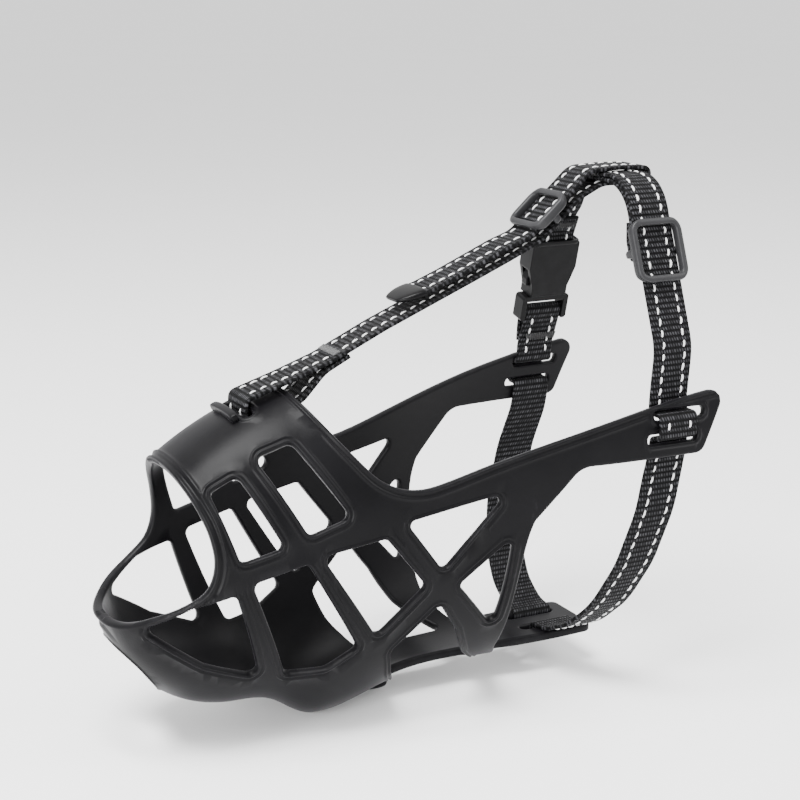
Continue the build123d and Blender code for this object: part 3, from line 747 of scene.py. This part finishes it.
def middle_points(x_from, x_to, sign, scales, step=1.2):
    """Points on the middle line, with the bead rows of the edges at its ends."""
    line = middle_line(x_from, x_to, sign)
    gaps = np.linalg.norm(np.diff(surface(line), axis=0), axis=1)
    at = np.concatenate([[0], np.cumsum(gaps)])
    rows = np.array([row for row in ROWS if row > 0.1])
    low, high = rows * scales[0], at[-1] - rows[::-1] * scales[1]
    if low[-1] + step > high[0]:
        return spaced(line, step)[1:-1]
    count = max(2, int(round((high[0] - low[-1]) / step)) + 1)
    stops = np.concatenate([low, np.linspace(low[-1], high[0], count)[1:-1], high])
    return np.stack([np.interp(stops, at, line[:, k]) for k in range(2)], axis=-1)


def basket_wall():
    """The basket's moulding as one mesh: half a wall with beaded rims, mirrored."""
    edges = basket_edges()
    spaced_edges = {}
    for name, edge in edges.items():
        spaced_edges[name] = spaced(edge[0], EDGE_STEP, edge[1])
    nose, rear, low = spaced_edges["nose"], spaced_edges["rear_top"], spaced_edges["arm_low"]
    low = np.vstack([rear[-1:], low[1:]])
    spaced_edges["arm_low"] = low
    bridge, chin = spaced_edges["bridge_slot"], spaced_edges["chin_hole"]
    ends = {name: sorted([length_of(line[0]), length_of(line[-1])])
            for name, line in spaced_edges.items() if name in ("bridge_slot", "chin_hole")}
    for line, sign in ((nose, -1), (rear, 1), (bridge, 1), (chin, -1)):
        for end in (0, -1):
            x = length_of(line[end])
            if line is rear and end == -1:
                continue
            side = np.sign(line[end, 1]) if line is nose else sign
            line[end] = to_domain(np.array(x), np.array(side * pi / 2))
    low[-1] = to_domain(np.array(TAB_END), np.array(-pi / 2))
    lip_x, brow_x = length_of(nose[0]), length_of(nose[-1])
    scale = {name: edge[3] for name, edge in edges.items()}
    top = [middle_points(brow_x, ends["bridge_slot"][0], 1, (scale["nose"], scale["bridge_slot"])),
           middle_points(ends["bridge_slot"][1], length_of(rear[0]), 1,
                         (scale["bridge_slot"], scale["rear_top"]))]
    under = [middle_points(TAB_END, ends["chin_hole"][1], -1, (scale["arm_low"], scale["chin_hole"])),
             middle_points(ends["chin_hole"][0], lip_x, -1, (scale["chin_hole"], scale["nose"]), 0.6)]
    if length_of(bridge[0]) > length_of(bridge[-1]):
        bridge = bridge[::-1]
    if length_of(chin[0]) < length_of(chin[-1]):
        chin = chin[::-1]
    outer = np.vstack([nose, top[0], bridge, top[1], rear, low[1:], under[0], chin, under[1]])
    holes = [spaced_edges[name] for name, edge in edges.items() if edge[1]]

    def in_wall(points):
        found = inside(points, outer)
        for hole in holes:
            found &= ~inside(points, hole)
        return found

    chains = [outer] + holes
    seeds = list(chains)
    sources = {name: surface(line) for name, line in spaced_edges.items()}
    for name, line in spaced_edges.items():
        closed, scale = edges[name][1], edges[name][3]
        ring = np.vstack([line[-1:], line, line[:1]]) if closed else line
        for sign in (1, -1):
            rows = offset_rows(ring, sign, scale)
            if closed:
                rows = [row[1:-1] for row in rows]
            if in_wall(rows[2]).mean() < 0.5:
                continue
            for row, distance in zip(rows, ROWS):
                kept = row[in_wall(row)]
                if not len(kept):
                    continue
                space = surface(kept)
                clear = np.ones(len(kept), bool)
                for other in sources:
                    to_edge = distance_to(space, sources[other], edges[other][1])
                    least = distance * scale - 0.04 if other == name else distance * scale * 0.8
                    clear &= to_edge > least
                clear &= space[:, 1] > 0.35
                seeds.append(kept[clear])
    grid_step = 2.2
    p = np.arange(6, 250, grid_step)
    v = np.arange(-110, 110, grid_step)
    grid = np.array([(a + (j % 2) * grid_step / 2, b) for j, b in enumerate(v) for a in p])
    grid = grid[in_wall(grid)]
    space = surface(grid)
    clear = space[:, 1] > 0.8
    for name, line in sources.items():
        clear &= distance_to(space, line, edges[name][1]) > ROWS[-1] * edges[name][3] + 0.8
    seeds.append(grid[clear])

    points = np.vstack(seeds)
    links = []
    at = 0
    for chain in chains:
        count = len(chain)
        links += [(at + i, at + (i + 1) % count) for i in range(count)]
        at += count
    made = delaunay_2d_cdt([Vector(q) for q in points], links, [], 0, 1e-4)
    domain = np.array([tuple(q) for q in made[0]])
    triangles = np.array(made[2])
    triangles = triangles[in_wall(domain[triangles].mean(1))]
    used = np.unique(triangles)
    remap = np.full(len(domain), -1)
    remap[used] = np.arange(len(used))
    domain, triangles = domain[used], remap[triangles]

    space, normal = surface(domain), wall_normals(domain)
    x = np.sqrt(domain[:, 0] ** 2 + LENGTH_EASE ** 2) - LENGTH_EASE
    middle = np.abs(domain[:, 1]) > pi / 2 * girth(x) - 1e-3
    pairs = np.sort(np.vstack([triangles[:, [0, 1]], triangles[:, [1, 2]], triangles[:, [2, 0]]]), axis=1)
    unique, counts = np.unique(pairs, axis=0, return_counts=True)
    rim_edges = unique[(counts == 1) & ~(middle[unique[:, 0]] & middle[unique[:, 1]])]
    rim = np.zeros(len(domain), bool)
    rim[rim_edges.ravel()] = True

    nearest = np.full(len(domain), 1e9)
    bead = np.zeros(len(domain))
    for name, line in sources.items():
        away = distance_to(space, line, edges[name][1])
        nearest = np.minimum(nearest, away)
        high = bead_height(away, edges[name][2], edges[name][3])
        bead = np.where(np.abs(high) > np.abs(bead), high, bead)
    inset = np.clip(EDGE_ROUND - nearest, 0, EDGE_ROUND)
    edge_drop = EDGE_ROUND - np.sqrt(EDGE_ROUND ** 2 - inset ** 2)
    wall = WALL + 0.45 * smooth_step((space[:, 0] - 140) / 10) * (space[:, 1] < 14) * (space[:, 2] < 0)
    outer_lift = np.where(rim, -wall / 2, bead - edge_drop)
    inner_lift = np.where(rim, -wall / 2, edge_drop - wall)
    outer_points = space + normal * outer_lift[:, None]
    inner_points = space + normal * inner_lift[:, None]
    outer_points[middle, 1] = 0.0
    inner_points[middle, 1] = 0.0

    corner = space[triangles[:, 0]]
    side = np.cross(space[triangles[:, 1]] - corner, space[triangles[:, 2]] - corner)
    wrong = (side * normal[triangles[:, 0]]).sum(1) < 0
    triangles[wrong] = triangles[wrong][:, ::-1]
    flat = rim[triangles].all(1)
    triangles = triangles[~flat]
    inner_number = np.where(rim, np.arange(len(domain)), len(domain) + np.cumsum(~rim) - 1)
    vertices = np.vstack([outer_points, inner_points[~rim]])
    vertices = (vertices - [LIP_FRONT, 0, -LIP_UP]) * MM
    faces = np.vstack([triangles, inner_number[triangles][:, ::-1]])
    shell = mesh_object("basket", vertices, faces.tolist(), soft_plastic, "basket")
    mirror = shell.modifiers.new("other half", "MIRROR")
    mirror.use_axis = (False, True, False)
    mirror.use_mirror_merge = True
    mirror.merge_threshold = 5e-6
    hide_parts("basket_shell")
    return shell


basket_wall()


# ---------------------------------------------------------------- webbing
WEB_WIDTH, WEB_THICK = 15.0, 1.4
PLY = WEB_THICK + 0.15
NECK_LINE = np.array([(163.0, -46.0), (166.0, -36.0), (188.6, 40.0), (188.6, 60.0),
                      (190.2, 72.0), (190.2, 120.0), (192.6, 142.0)])
RUN_LOW, RUN_HIGH = np.array((41.4, 75.0)), np.array((25.8, 116.0))
RUN_UP = (RUN_HIGH - RUN_LOW) / np.linalg.norm(RUN_HIGH - RUN_LOW)
RUN_OUT = np.array((RUN_UP[1], -RUN_UP[0]))
CROWN_Z = 128.0
BUCKLE_X = 190.0
BUCKLE_BOTTOM, BUCKLE_TOP = np.array((41.9, 72.0)), np.array((34.2, 101.0))
BUCKLE_UP = (BUCKLE_TOP - BUCKLE_BOTTOM) / np.linalg.norm(BUCKLE_TOP - BUCKLE_BOTTOM)
BUCKLE_IN = np.array((-BUCKLE_UP[1], BUCKLE_UP[0]))
BUCKLE_MID = (BUCKLE_TOP + BUCKLE_BOTTOM) / 2
PIN_TURN = 1.1 + 0.1 + WEB_THICK / 2
PLUG_PIN_V, SOCKET_PIN_V = -13.2, 11.0
SLIDER_TURN = 1.0 + 0.1 + WEB_THICK / 2
SLIDER_CENTRE_Z = 105.5
LADDER_OUT, LADDER_IN_LOW, LADDER_IN_HIGH = 49.6, 44.5, 43.1
TAB_OVER, TAB_UNDER = TAB_Z + 2.8, TAB_Z - 2.5
HEAD_SLIDER_AT, HEAD_SLIDER_RISE = (163.5, 117.0), radians(42.0)
HEAD_LAYER_GAP = 2 * (WEB_THICK / 2 + 0.25 + 1.0)
LOOP_REAR, LOOP_TOP, LOOP_UNDER = 203.4, CROWN_Z + 2 * PLY + 0.2, CROWN_Z - PLY
LOOP_ARCH = 0.35
TAIL_CORNER, TAIL_END = (118.0, 94.9), (112.6, 93.4)


def buckle_point(v, t):
    return tuple(BUCKLE_MID + BUCKLE_UP * v + BUCKLE_IN * t)


def run_point(start, up, out):
    return tuple(np.array(start) + RUN_UP * up + RUN_OUT * out)


def run_at(z, out):
    return run_point(RUN_LOW + RUN_UP * ((z - RUN_LOW[1]) / RUN_UP[1]), 0, out)


def near(points):
    """The same |y|, z points on the dog's left."""
    return [(-y, z) for y, z in points]


class Strip:
    """A run of webbing: its middle line, and the directions across and out."""

    def __init__(self, centres, across):
        self.centres = centres
        gaps = np.linalg.norm(np.diff(centres, axis=0), axis=1)
        self.at = np.concatenate([[0], np.cumsum(gaps)])
        along = np.gradient(centres, self.at, axis=0)
        along /= np.linalg.norm(along, axis=1, keepdims=True)
        normal = np.cross(along, across)
        self.normal = normal / np.linalg.norm(normal, axis=1, keepdims=True)
        slant = np.linalg.norm(np.cross(along, across), axis=1, keepdims=True)
        self.across = np.array(across)[None] / slant
        self.along = along
        self.length = self.at[-1]

    def frame(self, distance):
        """Middle, across and normal at distances along the strip."""
        return [np.stack([np.interp(distance, self.at, field[:, k]) for k in range(3)], axis=-1)
                for field in (self.centres, self.across, self.normal)]


def neck_strip(points, radii):
    """Webbing of the neck strap, from |y|, z corners on the band NECK_LINE."""
    line = fine(rounded_line(points, radii, arc_step=0.5), 0.8)
    x = np.interp(line[:, 1], NECK_LINE[:, 1], NECK_LINE[:, 0])
    window = 9
    padded = np.concatenate([np.full(window, x[0]), x, np.full(window, x[-1])])
    eased = np.convolve(padded, np.ones(2 * window + 1) / (2 * window + 1), mode="valid")
    return Strip(np.stack([eased, line[:, 0], line[:, 1]], axis=-1), (1.0, 0.0, 0.0))


def head_strip(points, radii):
    """Webbing of the forehead strap, from x, z corners in the middle plane."""
    line = fine(rounded_line(points, radii, arc_step=0.5), 0.8)
    return Strip(np.stack([line[:, 0], np.zeros(len(line)), line[:, 1]], axis=-1), (0.0, 1.0, 0.0))


# Section of the webbing: share of half the width, share of half the thickness.
WEB_SECTION = [(-1, 0.35), (-0.985, 0.8), (-0.93, 1), (-0.86, 0.92), (-0.6, 1), (-0.3, 1), (0, 1), (0.3, 1),
               (0.6, 1), (0.86, 0.92), (0.93, 1), (0.985, 0.8), (1, 0.35)]
WEB_SECTION = WEB_SECTION + [(a, -b) for a, b in reversed(WEB_SECTION)]


def web_mesh(name, strip, start, end, body):
    """The webbing itself between two distances, with a UV in millimetres."""
    stops = strip.at[(strip.at > start + 0.2) & (strip.at < end - 0.2)]
    stops = np.concatenate([[start], stops, [end]])
    middle, across, normal = strip.frame(stops)
    path = list(zip(middle, across * WEB_WIDTH / 2, normal * WEB_THICK / 2))
    made = closed_form(name, swept(path, [WEB_SECTION] * len(path)), webbing, body)
    layer = made.data.uv_layers.new(name="Webbing")
    for loop in made.data.loops:
        i, k = divmod(loop.vertex_index, len(WEB_SECTION))
        layer.data[loop.index].uv = (stops[i], WEB_SECTION[k][0] * WEB_WIDTH / 2)
    bpy.context.view_layer.update()
    return made


STITCH_ROW, STITCH_PITCH, STITCH_LONG = 4.2, 3.9, 3.1
STITCH_HALF, STITCH_HIGH, STITCH_SUNK, STITCH_THICK = 0.42, 0.36, 0.26, 0.3
FOLDED = 0.8            # no stitch where its two ends' normals differ by more
STITCH_SHARES = np.linspace(-1, 1, 6)
STITCH_TURNS = np.linspace(0, 2 * pi, 6, endpoint=False)
chance = np.random.default_rng(7)


def one_stitch(strip, centre, row, side):
    """A bowed, rounded stitch on one side of the webbing, or None at a fold."""
    long = STITCH_LONG * (1 + 0.06 * chance.standard_normal())
    skew = 0.12 + 0.1 * chance.standard_normal()
    bow = 0.22 + 0.1 * chance.standard_normal()
    wide = STITCH_HALF * (1 + 0.08 * chance.standard_normal())
    middle, across, normal = strip.frame(centre + STITCH_SHARES * long / 2)
    if normal[0] @ normal[-1] < FOLDED:
        return None
    path, sections = [], []
    for share, spot, aside, out in zip(STITCH_SHARES, middle, across, normal * side):
        full = sqrt(max(0.0, 1 - abs(share) ** 3)) * 0.85 + 0.15
        lift = WEB_THICK / 2 + STITCH_HIGH * (1 - share * share) - STITCH_SUNK
        bend = row + skew * share + bow * (1 - share * share)
        path.append((spot + aside * bend + out * lift, aside, out))
        sections.append([(wide * full * cos(t), STITCH_THICK * full * sin(t)) for t in STITCH_TURNS])
    return swept(path, sections)


def stitch_mesh(name, runs, body):
    """White stitches: each run is (strip, start, end, side of the webbing)."""
    stitches = [one_stitch(strip, centre, row, side)
                for strip, start, end, side in runs
                for row in (-STITCH_ROW, STITCH_ROW)
                for centre in np.arange(start + 2.6, end - 2.2, STITCH_PITCH)]
    return closed_form(name, joined(form for form in stitches if form), white_thread, body)


slider_middle = run_at(SLIDER_CENTRE_Z, PLY)
slider_pin = run_point(slider_middle, 0, -(PLY + SLIDER_TURN))
ladder = [(LADDER_IN_HIGH, 53.4), (LADDER_OUT, 53.4), (LADDER_OUT, 45.4), (LADDER_IN_LOW, 45.4)]
throat = [(LADDER_IN_LOW, 34.0), (46.2, 20.0), (43.4, 1.0), (36.0, -15.0), (25.0, -25.6), (13.0, TAB_OVER)]
tab_turn = [(TAB_SLOT_Y, TAB_OVER), (TAB_SLOT_Y, TAB_UNDER)]
plug_loop = [
    (44.3, 62.0), (44.6, 69.0), buckle_point(PLUG_PIN_V + PIN_TURN, -PIN_TURN),
    buckle_point(PLUG_PIN_V + PIN_TURN, PIN_TURN), buckle_point(PLUG_PIN_V - 7.0, PIN_TURN), (43.1, 60.5),
]
tail_up = [(LADDER_IN_HIGH, 62.0), run_at(RUN_LOW[1], PLY), run_at(CROWN_Z + PLY, PLY), (3.0, CROWN_Z + PLY)]
half_down = ladder + throat + tab_turn
half_radii = [1.6, 1.6, 1.6, 1.6, 30.0, 30.0, 30.0, 30.0, 20.0, 14.0, 1.6, 1.6]
throat_line = neck_strip(
    plug_loop + half_down + near(half_down[::-1]) + near(tail_up),
    [6.0, 1.85, 1.85, 8.0, 8.0] + half_radii + half_radii[::-1] + [30.0, 24.0, 16.0 + PLY])

slider_loop = [
    run_point(slider_middle, 11.0, -PLY - 1.62), run_point(slider_pin, 5.0, -SLIDER_TURN),
    run_point(slider_pin, -SLIDER_TURN, -SLIDER_TURN), run_point(slider_pin, -SLIDER_TURN, SLIDER_TURN),
]
crown_corner = run_at(CROWN_Z, 0)
socket_loop = [
    buckle_point(SOCKET_PIN_V + 8.0, -PIN_TURN), buckle_point(SOCKET_PIN_V - PIN_TURN, -PIN_TURN),
    buckle_point(SOCKET_PIN_V - PIN_TURN, PIN_TURN), buckle_point(SOCKET_PIN_V + 7.0, PIN_TURN),
    (28.3, 110.0),
]
crown_line = neck_strip(
    near(slider_loop + [crown_corner]) + [crown_corner, run_at(115.0, 0)] + socket_loop,
    [4.0, 1.75, 1.75, 16.0, 16.0, 12.0, 8.0, 1.85, 1.85, 6.0])


def head_point(s, n):
    x = HEAD_SLIDER_AT[0] + s * cos(HEAD_SLIDER_RISE) - n * sin(HEAD_SLIDER_RISE)
    return (x, HEAD_SLIDER_AT[1] + s * sin(HEAD_SLIDER_RISE) + n * cos(HEAD_SLIDER_RISE))


head_line = head_strip([
    (87.0, 75.5), (78.0, 71.0), (70.0, 62.5), (BRIDGE_SLOT_X, 55.4), (BRIDGE_SLOT_X, 64.6), (66.0, 69.4),
    (80.0, 74.2), (99.7, 83.3), (117.0, 90.4), (134.6, 97.6), (147.5, 103.0),
    head_point(-8.3, -HEAD_LAYER_GAP), head_point(12.0, -HEAD_LAYER_GAP), (184.0, LOOP_UNDER),
    (LOOP_REAR, LOOP_UNDER), (LOOP_REAR, LOOP_TOP), (191.0, LOOP_TOP + LOOP_ARCH), head_point(21.2, 0),
    head_point(-10.4, 0),
    (147.0, 107.0), (127.0, 98.4), TAIL_CORNER, TAIL_END,
], [12.0, 8.0, 2.0, 2.4, 30.0, 30.0, 60.0, 60.0, 60.0, 30.0,
    14.0, 14.0, 12.0, 2.3, 2.3, 14.0, 8.0, 12.0, 20.0, 20.0, 12.0])

throat_web = web_mesh("neck_webbing_long", throat_line, 0.0, throat_line.length, "basket")
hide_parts("throat_strap")
height = throat_line.centres[:, 2]
far_ladder = throat_line.at[np.argmax(np.abs(throat_line.centres[:, 1]) > 48.0)]
near_side = (throat_line.centres[:, 1] < 0) & (height > 56.0)
near_ladder = throat_line.at[np.argmax(near_side)]
stitch_mesh("neck_stitching_long", [
    (throat_line, 0.0, throat_line.length, -1), (throat_line, 0.0, far_ladder - 2.0, 1),
    (throat_line, near_ladder, throat_line.length, 1)], "basket")

head_web = web_mesh("forehead_webbing", head_line, 0.0, head_line.length, "basket")
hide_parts("forehead_strap")
stitch_mesh("forehead_stitching", [(head_line, 0.0, head_line.length, side) for side in (-1, 1)], "basket")

# The crown webbing is two pieces that meet unseen inside the forehead loop:
# each runs from the basket's body to the hardware sewn into it, unattached to any body.
on_crown = crown_line.centres[:, 2] >= 120
crown_half = crown_line.at[np.argmin(np.where(on_crown, np.abs(crown_line.centres[:, 1]), np.inf))]
crown_near = web_mesh("crown_webbing_left", crown_line, 0.0, crown_half, None)
crown_far = web_mesh("crown_webbing_right", crown_line, crown_half, crown_line.length, None)
near_stitches = stitch_mesh("crown_stitching_left", [(crown_line, 0.0, crown_half, s) for s in (-1, 1)], None)
far_stitches = stitch_mesh(
    "crown_stitching_right", [(crown_line, crown_half, crown_line.length, s) for s in (-1, 1)], None)
for piece in (crown_near, crown_far):
    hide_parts("crown_strap")
for piece in (crown_far, far_stitches):
    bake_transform(piece)
for piece in (crown_near, near_stitches):
    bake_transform(piece)


# ---------------------------------------------------------------- hardware
def softened(node, name, body, finish_material, width, segments=3, angle=28.0):
    """A merged copy of a hard CAD node with its edges rounded over."""
    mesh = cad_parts[node].data.copy()
    mesh.materials.clear()
    bm = bmesh.new()
    bm.from_mesh(mesh)
    bmesh.ops.remove_doubles(bm, verts=bm.verts, dist=2e-6)
    bmesh.ops.dissolve_limit(bm, angle_limit=radians(1.0), verts=bm.verts, edges=bm.edges)
    bm.to_mesh(mesh)
    bm.free()
    mesh.materials.append(finish_material)
    mesh.polygons.foreach_set("use_smooth", [True] * len(mesh.polygons))
    made = bpy.data.objects.new(name, mesh)
    bpy.context.scene.collection.objects.link(made)
    bevel = made.modifiers.new("rounded edges", "BEVEL")
    bevel.width = width * MM
    bevel.segments = segments
    bevel.limit_method = "ANGLE"
    bevel.angle_limit = radians(angle)
    bevel.use_clamp_overlap = True
    bevel.harden_normals = False
    weighted = made.modifiers.new("even shading", "WEIGHTED_NORMAL")
    weighted.keep_sharp = True
    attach(made, body)
    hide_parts(node)
    return made


HARDWARE = (
    ("buckle_plug", "buckle_plug_moulding", "basket", 0.8),
    ("plug_prong_front", "front_spring_arm", "prong_front", 0.3),
    ("plug_prong_rear", "rear_spring_arm", "prong_rear", 0.3),
    ("buckle_socket", "buckle_socket_moulding", "socket", 1.0),
)
for node, name, body, width in HARDWARE:
    softened(node, name, body, hard_plastic, width)


def soft_box_section(half_wide, half_high, count=12, power=3.2):
    """A soft rectangle as (out, up) pairs; a power of 2 makes it round."""
    turns = np.linspace(0, 2 * pi, count, endpoint=False)
    out, up = signed_power(np.cos(turns), 2 / power), signed_power(np.sin(turns), 2 / power)
    return list(zip((half_wide * out).tolist(), (half_high * up).tolist()))


def subdivided(made, levels=2):
    """Adds a live subdivision."""
    smoother = made.modifiers.new("smooth form", "SUBSURF")
    smoother.levels = levels
    smoother.render_levels = levels
    return made


def ring_tangents(outline):
    """Unit directions along a closed outline."""
    ahead = np.roll(outline, -1, axis=0) - np.roll(outline, 1, axis=0)
    return ahead / np.linalg.norm(ahead, axis=1, keepdims=True)


SLIDER_WIDE, SLIDER_RAIL, SLIDER_CORNER = 20.6, 2.5, 3.2
BAR_HALF_HIGH, BAR_LIFT = 1.02, 2.2         # over the webbing
RAIL_HALF_HIGH, RAIL_LIFT = 1.77, 1.2       # beside it
SLIDER_PIN_HALF, SLIDER_PIN_REACH = 0.98, 9.4


def slider_frame(name, node, body, origin, x_dir, z_dir, length, pin_drop):
    """Slider: a rounded frame over the webbing and a pin under it, on two lugs."""
    origin, x_dir, z_dir = np.array(origin), np.array(x_dir), np.array(z_dir)
    y_dir = np.cross(z_dir, x_dir)
    rail_x = (SLIDER_WIDE - SLIDER_RAIL) / 2
    corners = slot_corners((0, 0), SLIDER_WIDE - SLIDER_RAIL, length - SLIDER_RAIL)
    outline = fine(rounded_line(corners, SLIDER_CORNER, closed=True), 1.1, closed=True)[:-1]
    path, sections = [], []
    for (u, v), (tu, tv) in zip(outline, ring_tangents(outline)):
        beside = float(smooth_step((abs(u) - 6.6) / 2.2))
        lift = BAR_LIFT + (RAIL_LIFT - BAR_LIFT) * beside
        high = BAR_HALF_HIGH + (RAIL_HALF_HIGH - BAR_HALF_HIGH) * beside
        path.append((origin + x_dir * u + y_dir * v + z_dir * lift, x_dir * tv - y_dir * tu, z_dir))
        sections.append(soft_box_section(SLIDER_RAIL / 2, high))
    forms = [swept(path, sections, closed=True)]
    for side in (-1, 1):
        lug = [(origin + x_dir * side * rail_x + z_dir * at, x_dir, y_dir)
               for at in np.linspace(0.8, -pin_drop - 1.0, 5)]
        forms.append(swept(lug, [soft_box_section(0.95 * grow, 1.5 * grow) for grow in (1, 1, 1, 0.96, 0.7)]))
    stations = (-SLIDER_PIN_REACH, -6.0, 0.0, 6.0, SLIDER_PIN_REACH)
    pin = [(origin + x_dir * u - z_dir * pin_drop, y_dir, z_dir) for u in stations]
    forms.append(swept(pin, [soft_box_section(SLIDER_PIN_HALF, SLIDER_PIN_HALF, power=2.0)] * len(pin)))
    made = subdivided(closed_form(name, joined(forms), slider_plastic, body), 1)
    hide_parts(node)


slider_frame("neck_slider_frame", "neck_slider", "neck_adjuster",
             (NECK_LINE[4][0], -slider_middle[0], slider_middle[1]), (1, 0, 0),
             (0, -RUN_OUT[0], RUN_OUT[1]), 22.0, PLY + SLIDER_TURN)
slider_frame("forehead_slider_frame", "forehead_slider", "forehead_adjuster",
             (HEAD_SLIDER_AT[0], 0, HEAD_SLIDER_AT[1]), (0, -1, 0),
             (-sin(HEAD_SLIDER_RISE), 0, cos(HEAD_SLIDER_RISE)), 17.0, HEAD_LAYER_GAP / 2)


def rounded_loft(name, stations, body, finish_material):
    """A closed form through soft rectangles: (middle, across, up, half wide, half high)."""
    path = [tuple(np.array(part, float) for part in station[:3]) for station in stations]
    sections = [soft_box_section(*station[3:], power=4.0) for station in stations]
    made = subdivided(closed_form(name, swept(path, sections), finish_material, body))
    return made


tail_run = np.array((TAIL_CORNER[0] - TAIL_END[0], 0, TAIL_CORNER[1] - TAIL_END[1]))
tail_run = tail_run / np.linalg.norm(tail_run)
tail_up_way = np.array((-tail_run[2], 0, tail_run[0]))
tail_middle = np.array((TAIL_END[0], 0, TAIL_END[1]))
tail_end = rounded_loft("forehead_tail_end", [
    (tail_middle + tail_run * at, (0, 1, 0), tail_up_way, wide, high)
    for at, wide, high in ((3.2, 7.7, 1.2), (3.0, 8.0, 1.5), (0.5, 8.0, 1.6), (-2.5, 7.4, 1.5),
                           (-5.0, 6.2, 1.1), (-6.8, 4.6, 0.7), (-7.1, 4.0, 0.5))],
    "basket", hard_plastic)
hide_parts("forehead_tail_tip")

knob_x, knob_long, knob_wide, knob_low, knob_high = 97.2, 11.6, 12.0, -44.6, -36.5
rounded_loft("chin_knob", [
    ((knob_x, 0, z), (1, 0, 0), (0, 1, 0), knob_long / 2 * grow, knob_wide / 2 * grow)
    for z, grow in ((knob_high, 1.12), (knob_high - 2.5, 1.02), (knob_low + 3.6, 0.98),
                    (knob_low + 0.9, 0.95), (knob_low + 0.1, 0.8), (knob_low, 0.7))],
    "basket", soft_plastic)

# Raised bar across the bridge, in front of the forehead strap's slot.
bar_x = BRIDGE_SLOT_X - 4.6
bar_z = float(top_of(np.array(bar_x)))
bar_across, bar_up = (0.93, 0, 0.37), (-0.37, 0, 0.93)
rounded_loft("bridge_bar", [
    ((bar_x - 0.003 * y * y, y, bar_z + 1.0 - 0.0013 * abs(y) ** 2.6), bar_across, bar_up, wide, high)
    for y, wide, high in ((-9.6, 0.9, 0.8), (-9.3, 1.4, 1.4), (-6.0, 1.5, 1.6), (0.0, 1.5, 1.7),
                          (6.0, 1.5, 1.6), (9.3, 1.4, 1.4), (9.6, 0.9, 0.8))],
    "basket", soft_plastic)

# Bead round the socket's mouth.
MOUTH_V, MOUTH_WIDE, MOUTH_HIGH = 15.1, 19.4, 7.4
mouth = rounded_line(slot_corners((0, 0), MOUTH_WIDE, MOUTH_HIGH), 1.8, closed=True)
mouth = fine(mouth, 0.8, closed=True)[:-1]
mouth_path = [
    (np.array((BUCKLE_X + u, *buckle_point(MOUTH_V, t))),
     np.array((tt, -BUCKLE_IN[0] * tu, -BUCKLE_IN[1] * tu)), np.array((0, *BUCKLE_UP)))
    for (u, t), (tu, tt) in zip(mouth, ring_tangents(mouth))]
mouth_form = swept(mouth_path, [soft_box_section(0.6, 0.75)] * len(mouth), closed=True)
mouth_bead = closed_form("socket_mouth_bead", mouth_form, hard_plastic, "socket")

TACK_TURNS, TACK_LONG, TACK_REACH = 30, 12.5 * MM, 1.25 * MM
THREAD_WIDE, THREAD_HIGH = 0.26 * MM, 0.34 * MM


def zigzag_tack(name, node, body, across):
    """Bartack: one thread laid in a dense zigzag over the place of the CAD tack."""
    low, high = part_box(node)
    middle = (low + high) / 2
    normal = Vector((0, 0, 0))
    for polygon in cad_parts[node].data.polygons:
        if polygon.area > 4e-6:
            turned = polygon.normal if polygon.normal.dot(Vector((1, 1, 1))) > 0 else -polygon.normal
            normal += turned * polygon.area
    normal.normalize()
    across = Vector(across)
    along = normal.cross(across).normalized()
    line = [middle + across * (i / TACK_TURNS - 0.5) * TACK_LONG + along * (1 if i % 2 else -1) * TACK_REACH
            for i in range(TACK_TURNS + 1)]
    path = []
    for i, spot in enumerate(line):
        ahead = (line[min(i + 1, TACK_TURNS)] - line[max(i - 1, 0)]).normalized()
        path.append((spot, normal.cross(ahead).normalized(), normal))
    thread = soft_box_section(THREAD_WIDE, THREAD_HIGH, count=6, power=2.0)
    form = swept(path, [thread] * len(path))
    made = closed_form(name, form, black_thread, body, in_millimetres=False)
    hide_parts(node)


zigzag_tack("bridge_tack_thread", "bridge_bartack", "basket", (0, 1, 0))
zigzag_tack("plug_tack_thread", "plug_bartack", "basket", (1, 0, 0))
zigzag_tack("slider_tack_thread", "slider_bartack", "basket", (1, 0, 0))
zigzag_tack("socket_tack_thread", "socket_bartack", "socket", (1, 0, 0))


# ---------------------------------------------------------------- floor and lights
def floor_and_lights():
    """Wide pale floor under an even white world, and three soft lights."""
    reach, turns = 20.0, 48
    vertices = [(reach * cos(2 * pi * k / turns), reach * sin(2 * pi * k / turns), 0.0) for k in range(turns)]
    faces = [tuple(range(turns))]
    made, w, shader, _ = material("pale_floor")
    shade = w.noise(w.node("TexCoord").outputs["Object"], 3.0, 4.0, 0.6)
    w.feed(shader.inputs["Base Color"], w.mix(shade, (0.88, 0.88, 0.88, 1.0), (0.91, 0.91, 0.91, 1.0)))
    shader.inputs["Roughness"].default_value = 0.75
    mesh_object("floor", vertices, faces, made)
    world = bpy.data.worlds.new("studio")
    world.use_nodes = True
    background = world.node_tree.nodes["Background"]
    background.inputs["Color"].default_value = (1.0, 1.0, 1.0, 1.0)
    background.inputs["Strength"].default_value = 1.5
    bpy.context.scene.world = world
    middle = (SHELL_LOW + SHELL_HIGH) / 2
    for name, spot, size, power in (
            ("left_softbox", (-0.95, -0.75, 0.35), 0.5, 20.0),
            ("top_softbox", (-0.35, -0.1, 1.1), 0.6, 34.0),
            ("right_softbox", (0.9, -0.6, 0.9), 0.6, 8.0)):
        data = bpy.data.lights.new(name, "AREA")
        data.shape = "SQUARE"
        data.size = size
        data.energy = power
        lamp = bpy.data.objects.new(name, data)
        bpy.context.scene.collection.objects.link(lamp)
        lamp.location = spot
        lamp.rotation_mode = "QUATERNION"
        lamp.rotation_quaternion = (middle - Vector(spot)).to_track_quat("-Z", "Y")


floor_and_lights()
